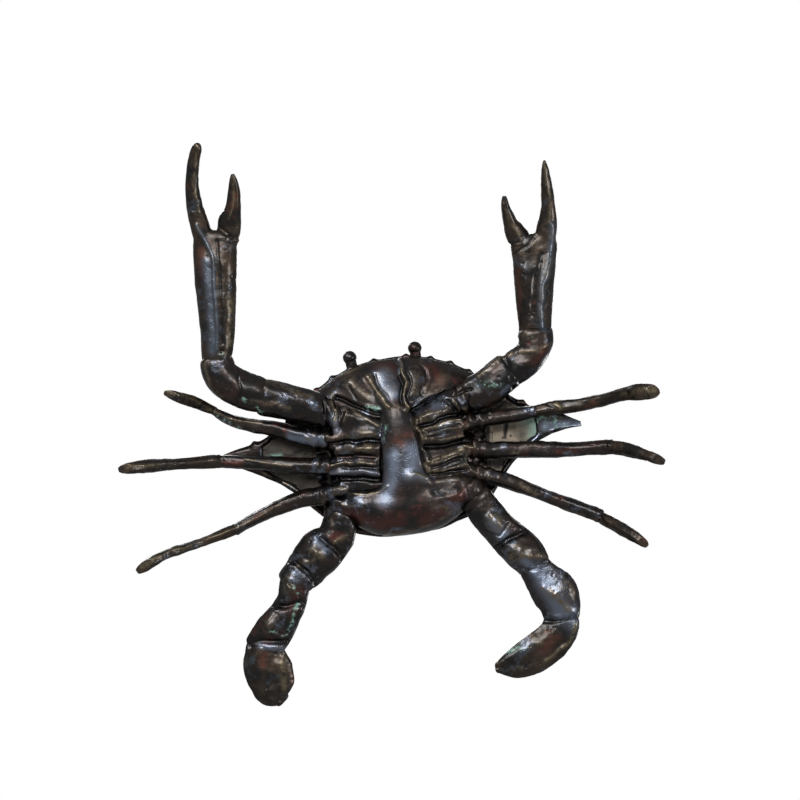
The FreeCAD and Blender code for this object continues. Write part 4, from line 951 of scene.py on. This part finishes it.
# Claws: side, heading, reach and rows of the palm, and then heading, reach and rows of the long and of the
# short finger.
claws = {
    "left": (1, -83, 37.0, palm_left_rows, (-84, 33.2, long_finger_left_rows),
             (-104, 20.2, short_finger_left_rows)),
    "right": (-1, -82, 50.5, palm_right_rows, (-83, 38.8, long_finger_right_rows),
              (-75, 26.2, short_finger_right_rows)),
}
long_finger_offset = 0.27
short_finger_offset = -0.30
finger_sunk = 5.0
finger_root_width = 0.62
finger_root_depth = 0.75
finger_bands = [(5.5, 0.8, 0.3), (7.0, 0.8, -0.2)]
finger_facets = 0.10
finger_lips = (0.4, 0.3)
palm_lips = (3.0, 4.5)
palm_rounds = 30
fusing_grain = 0.42
# Claw marks: bluish-grey marks are painted sheen along the keels, the rubbed marks worn metal with painted highlights,
# and dark marks with a cut painted shade in the grooves.
claw_marks = [
    ("painted_sheen", 1.6, 0.45, [(197, 225), (205, 240), (213, 258), (216, 310), (217, 350)]),
    ("painted_sheen", 4.5, 0.0, [(206, 262), (210, 300), (213, 350)]),
    ("red", 4.0, 0.0, [(200, 250), (203, 275)]),
    ("plain", 5.5, 0.15, [(229, 236), (230, 290), (231, 350)]),
    ("wear_and_highlight", 3.0, 0.0, [(230, 300), (231, 345)]),
    ("dark", 1.4, -0.35, [(217, 240), (221, 285), (223, 345)]),
    ("dark", 2.2, -1.20, [(222, 352)]),
    ("green", 1.2, 0.0, [(218, 353), (220, 356), (224, 356)]),
    ("wear_and_highlight", 1.2, 0.20, [(197, 147), (193, 180), (198, 212)]),
    ("wear_and_highlight", 1.2, 0.20, [(234, 176), (234, 205), (228, 220)]),
    ("dark", 1.4, -0.30, [(214, 222), (224, 232), (236, 241)]),
    ("painted_sheen", 3.0, 0.70, [(552, 225), (550, 262), (543, 285), (540, 305), (543, 328)]),
    ("dark", 2.6, -0.50, [(542, 255), (535, 285), (532, 315)]),
    ("dark", 6.0, 0.10, [(529, 248), (526, 310)]),
    ("red", 3.0, 0.0, [(518, 270), (520, 300)]),
    ("wear_and_highlight", 1.2, 0.20, [(545, 164), (549, 195), (550, 222)]),
    ("wear_and_highlight", 1.2, 0.20, [(504, 203), (510, 222), (521, 240)]),
    ("dark", 1.4, -0.35, [(516, 254), (526, 246), (534, 236)]),
]


def fused(name, shells, grain, rounds=8):
    """One casting from overlapping skins: they are laid on a grid of cubes as small as the
    grain, whose outside is kept and smoothed for a number of rounds."""
    rough = bpy.data.objects.new(name, mesh_of(name, shells))
    bpy.context.scene.collection.objects.link(rough)
    cubes = rough.modifiers.new("cubes", "REMESH")
    cubes.mode = "VOXEL"
    cubes.voxel_size = grain / 1000
    soft = rough.modifiers.new("soft", "SMOOTH")
    soft.factor = 0.6
    soft.iterations = rounds
    mesh = bpy.data.meshes.new_from_object(rough.evaluated_get(bpy.context.evaluated_depsgraph_get()))
    bpy.data.objects.remove(rough)
    return mesh


for side_name, (side, heading, length, palm_rows, long_finger, short_finger) in claws.items():
    start, start_direction = wrists[side_name]
    places, directions = limb_line(start, heading, length, 0, [("palm", palm_rows)], start_direction)
    palm = tube(places, directions, palm_rows, palm_width, palm_depth, palm_lips, keeled_shares)
    outward = np.cross(directions[-1], (0, 0, 1.0)) * -side
    outward /= np.linalg.norm(outward)
    fingers = []
    for offset, (finger_heading, finger_reach, rows) in ((long_finger_offset, long_finger),
                                                         (short_finger_offset, short_finger)):
        root = places[-1] + outward * offset * palm_width
        finger_places, finger_directions = limb_line(root, finger_heading, finger_reach, 0, [("finger", rows)],
                                                     directions[-1])
        finger_places = np.concatenate([finger_places[:1] - directions[-1] * finger_sunk, finger_places])
        finger_directions = np.concatenate([finger_directions[:1], finger_directions])
        root_row = (*rows[0][:3], finger_root_width * rows[0][3], finger_root_depth * rows[0][4])
        fingers.append(tube(finger_places, finger_directions, [root_row] + rows, palm_width, palm_depth, finger_lips))
    name = "palm_cast_" + side_name
    cast(name, "claw_palm_" + side_name, fused(name, [skin(palm), skin(fingers[0])], fusing_grain, palm_rounds),
         "rubbed_bronze", claw_marks, lump_share=1.0, pit_depth=0.25, seed=51)
    name = "finger_cast_" + side_name
    cast(name, "claw_finger_" + side_name, mesh_of(name, [skin(fingers[1])]), "rubbed_bronze", claw_marks,
         lump_share=0.8, pit_depth=0.2, raised=bands(fingers[1], finger_bands, finger_facets), seed=55)

# The belly plate. Thick ribbed plate under the shell, cast in one with the round bosses that take the pegs of
# the legs and arms. Its ribs carry painted highlights and its grooves painted shade, and one groove holds verdigris.
belly_height = 12.6
belly_side = 7.9
hip_lift = 4.0
# Rows: place across in shares of the half width, and front and rear edge in shares of the half length.
belly_rows = np.array([(-1.00, -0.58, 0.56), (-0.78, -0.56, 0.58), (-0.46, -0.46, 0.56), (-0.20, -0.38, 0.54),
                       (0.20, -0.38, 0.54), (0.46, -0.46, 0.56), (0.78, -0.56, 0.58), (1.00, -0.58, 0.56)])
boss_length = 6.4
boss_sunk = 6.0
belly_boss_taper = 0.8


def boss(place, direction, diameter, taper):
    """Skin of a round boss that takes a limb's peg: circles across its direction, whose radius is
    even over half its length and then shrinks evenly by the taper."""
    across = np.cross(direction, (0, 0, 1.0))
    across /= np.linalg.norm(across)
    rise = np.cross(across, direction)
    angle = np.linspace(0, 2 * np.pi, 64, endpoint=False)[:, None]
    circle = np.cos(angle) * across + np.sin(angle) * rise
    travel = np.linspace(0, boss_length, 40)
    radius = np.interp(travel, [0, boss_length / 2, boss_length], [diameter / 2, diameter / 2, diameter / 2 - taper])
    start = place - direction * boss_sunk
    return skin(start + travel[:, None, None] * direction + radius[:, None, None] * circle)


lift_start = 13.0
lift_run = 14.0
belly_edge_share = 0.14
belly_edge_power = 1.8
# Underside: flat in the middle, lifted towards the hips by three times the square of the way less twice its
# cube, and its front and rear edges rise by a power of the nearness to the edge.
shares = np.linspace(-1, 1, 150)[:, None]
front, rear = [through(shares, belly_rows[:, 0], belly_rows[:, column]) for column in (1, 2)]
across = shares * half_belly
along = np.linspace(0, 1, 130)
edge = np.clip(1 - np.minimum(along, 1 - along) / belly_edge_share, 0, 1) ** belly_edge_power
risen = np.clip((np.abs(across) - lift_start) / lift_run, 0, 1)
lift = hip_lift * risen ** 2 * (3 - 2 * risen)
under = np.stack(np.broadcast_arrays(across, half_trunk * (front + along * (rear - front)),
                                     belly_height + lift + (belly_side - lift) * edge), -1)
# Belly marks: the rubbed marks on the ribs are painted highlights, dark marks painted shade in the grooves and beside
# the stem, bluish-grey marks painted sheen, and red and green marks the patina's own colour.
belly_marks = shoulder_marks + [
    ("plain", 3.2, 1.4, [(417, 420), (422, 444), (428, 462)]),
    ("plain", 5.5, 0.9, [(300, 440), (345, 436), (372, 434)]),
    ("wear_and_highlight", 2.0, 0.5, [(352, 409), (363, 418), (379, 426)]),
    ("dark", 2.2, -1.3, [(306, 450), (345, 441), (380, 441)]),
    ("plain", 4.0, 1.0, [(320, 455), (345, 449), (374, 449)]),
    ("wear_and_highlight", 3.0, 0.3, [(358, 449), (371, 449)]),
    ("red", 2.0, -1.0, [(338, 456), (376, 457)]),
    ("wear_and_highlight", 1.8, 0.8, [(330, 466), (345, 462), (374, 464)]),
    ("dark", 1.5, -0.6, [(342, 467), (378, 468)]),
    ("painted_sheen", 2.6, 0.9, [(330, 474), (352, 471), (376, 473)]),
    ("dark", 2.4, -1.5, [(300, 480), (345, 479), (382, 480)]),
    ("plain", 5.0, 0.8, [(312, 492), (345, 490)]),
    ("dark", 2.0, -1.6, [(384, 430), (382, 466), (384, 480)]),
    ("plain", 5.5, 1.0, [(416, 424), (440, 412), (456, 404)]),
    ("wear_and_highlight", 1.8, 0.5, [(416, 420), (428, 414), (440, 409)]),
    ("dark", 1.6, -1.2, [(418, 427), (440, 419), (462, 414)]),
    ("plain", 4.5, 1.0, [(424, 434), (442, 429), (466, 426)]),
    ("wear_and_highlight", 1.5, 0.5, [(420, 430), (440, 424), (461, 419)]),
    ("dark", 1.2, -0.7, [(428, 433), (444, 428), (460, 425)]),
    ("wear_and_highlight", 1.5, 0.5, [(417, 424), (422, 439), (440, 440), (462, 436)]),
    ("dark", 2.2, -1.6, [(424, 447), (445, 446), (462, 441)]),
    ("plain", 4.5, 0.9, [(428, 468), (445, 461), (468, 452)]),
    ("wear_and_highlight", 1.6, 0.5, [(426, 462), (440, 457), (461, 450)]),
    ("dark", 1.5, -1.1, [(431, 467), (445, 463), (460, 458)]),
    ("wear_and_highlight", 1.6, 0.5, [(424, 464), (427, 472), (445, 470), (468, 464)]),
    ("dark", 1.5, -0.8, [(432, 474), (468, 470)]),
    ("wear_and_highlight", 1.5, 0.6, [(463, 446), (480, 448), (496, 452)]),
    ("wear_and_highlight", 1.5, 0.6, [(471, 471), (495, 484)]),
    ("red", 2.0, 0.2, [(466, 458), (486, 458)]),
    ("dark", 1.5, -0.8, [(462, 440), (470, 441), (496, 444)]),
    ("green", 2.0, -0.2, [(462, 454), (464, 458)]),
    ("wear_and_highlight", 1.5, 0.4, [(478, 418), (486, 424)]),
]
mesh = fused("belly_cast", [skin(closed(under, rim_height))] + [boss(*root, belly_boss_taper) for root in belly_bosses],
             fusing_grain)
cast("belly_cast", "belly_plate", mesh, "dark_bronze", belly_marks, lump_share=0.9, pit_depth=0.2, seed=61)

# The mouth fan. Five lobes that spread from the neck to the front rim, like a scallop, cast on with a beaded
# strip down the middle. The lobes are smooth, dark pillows with soft creases between them.
fan_neck = np.array([0.0, -0.34 * half_trunk])
fan_neck_height = 12.4
fan_slope = 9.2
fan_turn_up = 4.0
fan_half_turn = 92
fan_half_width = 36
fan_creases = np.array([-60, 62])
fan_crease_turn = 16
fan_bulge = 0.5
fan_start = 2.0
fan_margin = 1.0
fan_step = 0.6
fan_steps = 60
fan_blend = 8
fan_grain = 0.40
fan_overlap = 0.6
# Fan marks: the bluish-grey mark is painted sheen, the rubbed marks painted highlights on the ridges, and dark marks
# painted shade in the creases and under the fan's edge.
fan_marks = [
    ("plain", 6.5, 0.8, [(392, 409), (408, 409)]),
    ("plain", 10.0, 0.9, [(384, 372), (389, 392)]),
    ("plain", 6.5, 0.8, [(416, 370), (414, 392)]),
    ("plain", 10.0, 0.7, [(444, 377), (434, 391)]),
    ("plain", 8.0, 0.8, [(350, 381), (366, 397)]),
    ("painted_sheen", 7.0, 0.0, [(383, 376), (391, 394)]),
    ("red", 6.0, 0.0, [(378, 366), (392, 368)]),
    ("red", 6.0, 0.0, [(430, 368), (440, 380)]),
    ("wear_and_highlight", 2.0, 1.2, [(401, 360), (403, 374), (406, 382), (404, 395), (406, 402), (409, 407)]),
    ("dark", 1.3, -0.45, [(405, 362), (409, 374), (411, 384), (408, 396), (411, 402)]),
    ("dark", 1.3, -0.7, [(399, 376), (402, 384), (400, 397), (404, 407)]),
    ("wear_and_highlight", 2.4, 0.8, [(368, 377), (375, 389), (383, 401), (389, 408)]),
    ("dark", 1.6, -0.25, [(373, 376), (379, 388), (387, 400), (393, 407)]),
    ("plain", 2.4, 0.35, [(420, 363), (428, 370), (430, 378), (427, 386), (426, 392)]),
    ("dark", 1.6, -0.45, [(417, 364), (425, 371), (427, 378), (423, 386), (422, 394)]),
    ("dark", 1.6, -0.3, [(350, 387), (357, 399)]),
    ("green", 2.2, 0.2, [(366, 407), (379, 409)]),
    ("dark", 2.0, -1.3, [(336, 397), (352, 404), (368, 411), (384, 415)]),
    ("dark", 2.0, -1.3, [(413, 411), (426, 403), (445, 392)]),
    ("wear_and_highlight", 1.2, 0.3, [(333, 381), (350, 371), (368, 363)]),
]
# Reach: each ray from the neck steps on until it passes the front rim, and the reach is then a mean of its
# neighbours'.
turns = np.linspace(-fan_half_turn, fan_half_turn, 330)
way = np.stack([np.sin(np.radians(turns)), -np.cos(np.radians(turns))], 1)
reach = np.full(len(turns), fan_start)
for _ in range(fan_steps):
    spot = fan_neck + way * (reach + fan_margin)[:, None]
    inside = spot[:, 1] > through(np.clip(spot[:, 0], -half_span, half_span), shell_rows[:, 0], shell_rows[:, 1])
    reach = reach + fan_step * (inside & (np.abs(spot[:, 0]) < fan_half_width))
window = np.ones(2 * fan_blend + 1)
reach = np.convolve(np.pad(reach, fan_blend, "edge"), window / len(window), "valid")
# Underside: it rises evenly from the neck and turns up at the rim by the ninth power of the way. The lobes
# bulge down by the sine of half a turn times the way to the power 0.7, and less near a crease.
share = np.concatenate([[0.0], np.linspace(0.05, 1, 110)])
gap = np.abs(turns[:, None] - fan_creases).min(1)
lobe = fan_bulge * np.clip(gap / fan_crease_turn, 0, 1)
low = ((fan_neck_height + fan_slope * share + fan_turn_up * share ** 9)[None]
       - lobe[:, None] * np.sin(np.pi * share ** 0.7)[None])
plan = fan_neck + way[:, None] * (reach[:, None] * share)[..., None]
under = np.concatenate([plan, low[..., None]], -1)
mesh = fused("fan_cast", [skin(closed(under, rim_height + fan_overlap, 6))], fan_grain)
cast("fan_cast", "mouth_fan", mesh, "dark_bronze", fan_marks, lump_share=0.5, pit_depth=0.12, seed=71)

# The tail. The tail folded under the belly: a narrow stem that widens to a smooth bowl at the rear
# rim, cast in one with the bosses of the swimming legs. The bowl is scratched and worn.
tail_height = 10.4
tail_edge_drop = 3.0
tail_edge = rim_height - tail_edge_drop
stem_width = 17.0
stem_side = 2.2
tail_boss_taper = 0.5
tail_rounds = 70
# Rows of the bowl: place across in shares of the belly's half width, front and rear edge in shares of the
# trunk's half length, and depth. Rows of the stem: place along, width and depth.
bowl_rows = np.array([
    (-1.04, 0.50, 0.62, 0.40), (-0.90, 0.42, 0.78, 0.76), (-0.58, 0.36, 0.96, 0.95), (0.00, 0.32, 1.04, 1.00),
    (0.58, 0.36, 0.96, 0.95), (0.90, 0.42, 0.78, 0.76), (1.04, 0.50, 0.62, 0.40)])
stem_rows = np.array([(-0.46, 0.66, 0.10), (-0.34, 0.84, 0.40), (-0.10, 0.94, 0.80), (0.16, 1.00, 1.00),
                      (0.42, 1.20, 1.00), (0.62, 1.60, 1.00)])
# Tail marks: bluish-grey marks are painted sheen on the stem and bowl, the rubbed line along the bowl's ridge a painted
# highlight, and the dark mark painted shade in the bowl.
tail_marks = [
    ("painted_sheen", 7.0, 0.0, [(393, 456), (392, 480), (384, 500)]),
    ("painted_sheen", 6.0, 0.0, [(411, 450), (411, 474)]),
    ("painted_sheen", 5.0, 0.70, [(408, 474), (424, 477)]),
    ("wear_and_highlight", 2.2, 0.45, [(414, 474), (426, 477), (440, 477), (454, 474), (470, 472)]),
    ("wear_and_highlight", 1.5, 0.40, [(346, 493), (367, 495), (379, 492), (386, 486)]),
    ("wear_and_highlight", 3.5, 0.0, [(432, 506), (448, 509)]),
    ("wear_and_highlight", 1.2, 0.20, [(342, 504), (356, 508)]),
    ("wear_and_highlight", 1.3, 0.25, [(353, 532), (398, 534), (426, 526), (461, 508)]),
    ("red", 7.0, 0.0, [(348, 514), (372, 524), (398, 522)]),
    ("red", 7.0, 0.0, [(424, 520), (446, 508), (462, 494)]),
    ("plain", 4.0, 0.7, [(412, 478), (432, 482), (455, 479), (474, 478)]),
    ("dark", 5.0, -0.6, [(436, 492), (458, 488)]),
    ("red", 3.0, 0.0, [(396, 440), (404, 446)]),
    ("green", 1.4, -0.1, [(386, 426), (384, 438)]),
]
# Bowl: at each place across, an arc from front to rear, as deep as its row says. Stem: at each place along, an
# arc across, between the heights of the belly plate and the tail.
across = np.linspace(bowl_rows[0, 0], bowl_rows[-1, 0], 170)
front, rear, depth = [through(across, bowl_rows[:, 0], bowl_rows[:, column]) for column in (1, 2, 3)]
under_y, under_z = arch(front * half_trunk, rear * half_trunk, depth * (tail_edge - tail_height), 110)
bowl = np.stack(np.broadcast_arrays(across[:, None] * half_belly, under_y, tail_edge - under_z), -1)
along = np.linspace(stem_rows[0, 0], stem_rows[-1, 0], 120)
wide, deep = [through(along, stem_rows[:, 0], stem_rows[:, column]) for column in (1, 2)]
low = belly_height - deep * (belly_height - tail_height)
under_x, under_z = arch(-wide * stem_width / 2, wide * stem_width / 2, np.full(len(along), stem_side), 60)
stem = np.stack(np.broadcast_arrays(under_x, along[:, None] * half_trunk, (low + stem_side)[:, None] - under_z), -1)
mesh = fused("tail_cast", [skin(closed(bowl, rim_height)), skin(closed(stem, hip_height))]
             + [boss(*root, tail_boss_taper) for root in tail_bosses], fusing_grain, tail_rounds)
cast("tail_cast", "tail_flap", mesh, "dark_bronze", tail_marks, lump_share=0.55, pit_depth=0.15, seed=81)

# Table and light. A white table and a white room. The table is there only for the camera above it, so that
# the same soft lamps light the underside, and it keeps the crab's shadow.
table_fade_start = 0.18
table_fade_end = 0.42
paper_fleck = 0.002
table_drop = 0.0002
room_light = 0.40
# Matt paper: pale and even, with no gloss, seen only from above and near the crab. Its flecks of 2 mm are
# coarser than the real grain so that they show.
table = bpy.data.materials.new("white paper table")
table.use_nodes = True
tree = table.node_tree
tree.nodes.clear()
place = add(tree, "ShaderNodeTexCoord").outputs["Object"]
paper = add(tree, "ShaderNodeTexNoise", [("Vector", place)], Scale=1 / paper_fleck).outputs["Fac"]
tint = add(tree, "ShaderNodeMix", [(0, paper), (6, linear("#c6c5c3")), (7, linear("#cbcac8"))],
           data_type="RGBA").outputs[2]
matt = add(tree, "ShaderNodeBsdfDiffuse", [("Color", tint)]).outputs[0]
clear = add(tree, "ShaderNodeBsdfTransparent").outputs[0]
ray = add(tree, "ShaderNodeLightPath").outputs
hit = add(tree, "ShaderNodeNewGeometry").outputs
from_above = add(tree, "ShaderNodeMath", [(0, 1.0), (1, hit["Backfacing"])], operation="SUBTRACT").outputs[0]
away_from_crab = add(tree, "ShaderNodeVectorMath", [(0, hit["Position"])], operation="LENGTH").outputs["Value"]
fade = add(tree, "ShaderNodeMapRange", [("Value", away_from_crab)], interpolation_type="SMOOTHSTEP",
           From_Min=table_fade_start, From_Max=table_fade_end, To_Min=1.0, To_Max=0.0).outputs["Result"]
shown = ray["Is Camera Ray"]
for share in (from_above, fade):
    shown = add(tree, "ShaderNodeMath", [(0, shown), (1, share)], operation="MULTIPLY").outputs[0]
both = add(tree, "ShaderNodeMixShader", [(0, shown), (1, clear), (2, matt)]).outputs[0]
add(tree, "ShaderNodeOutputMaterial", [("Surface", both)])
bpy.ops.mesh.primitive_plane_add(size=1.0, location=(0, 0, -table_drop))
floor = bpy.context.object
floor.name = "table_top"
floor.data.materials.append(table)

# White room: pure white where the camera or a reflection meets it, and dimmer as a light on the crab.
world = bpy.data.worlds.new("white room")
bpy.context.scene.world = world
world.use_nodes = True
tree = world.node_tree
tree.nodes.clear()
ray = add(tree, "ShaderNodeLightPath").outputs
direct = ray["Is Camera Ray"]
for kind in ("Is Glossy Ray", "Is Transmission Ray"):
    direct = add(tree, "ShaderNodeMath", [(0, direct), (1, ray[kind])], operation="MAXIMUM").outputs[0]
strength = add(tree, "ShaderNodeMapRange", [("Value", direct)], To_Min=room_light, To_Max=1.0).outputs["Result"]
white = add(tree, "ShaderNodeBackground", [("Strength", strength)], Color=(1, 1, 1, 1)).outputs[0]
add(tree, "ShaderNodeOutputWorld", [("Surface", white)])

# Lamps: place and width across in metres, and power in watts.
lamps = [
    ("sky_below", (-0.10, -0.46, -0.95), 0.42, 16.0),
    ("window_below", (-0.36, -0.62, -0.44), 0.10, 5.0),
    ("window_below_far", (0.58, 0.10, -0.42), 0.10, 3.0),
    ("glint_below", (0.24, -0.36, -0.85), 0.07, 2.6),
    ("sky_above", (0.10, -0.20, 1.10), 0.90, 17.0),
    ("window_above", (-0.50, -0.60, 0.80), 0.16, 5.0),
    ("window_above_far", (0.70, 0.50, 0.60), 0.12, 4.0),
]
for name, place, size, power in lamps:
    lamp = bpy.data.objects.new(name, bpy.data.lights.new(name, "AREA"))
    lamp.data.shape = "DISK"
    lamp.data.size = size
    lamp.data.energy = power
    way = np.array(place) / -np.linalg.norm(place)
    aside = np.cross(way, (0, 1, 0))
    aside /= np.linalg.norm(aside)
    upright = np.cross(aside, way)
    lamp.matrix_world = Matrix([[aside[0], upright[0], -way[0], place[0]], [aside[1], upright[1], -way[1], place[1]],
                                [aside[2], upright[2], -way[2], place[2]], [0, 0, 0, 1]])
    bpy.context.scene.collection.objects.link(lamp)
bpy.context.scene.view_settings.view_transform = "Standard"
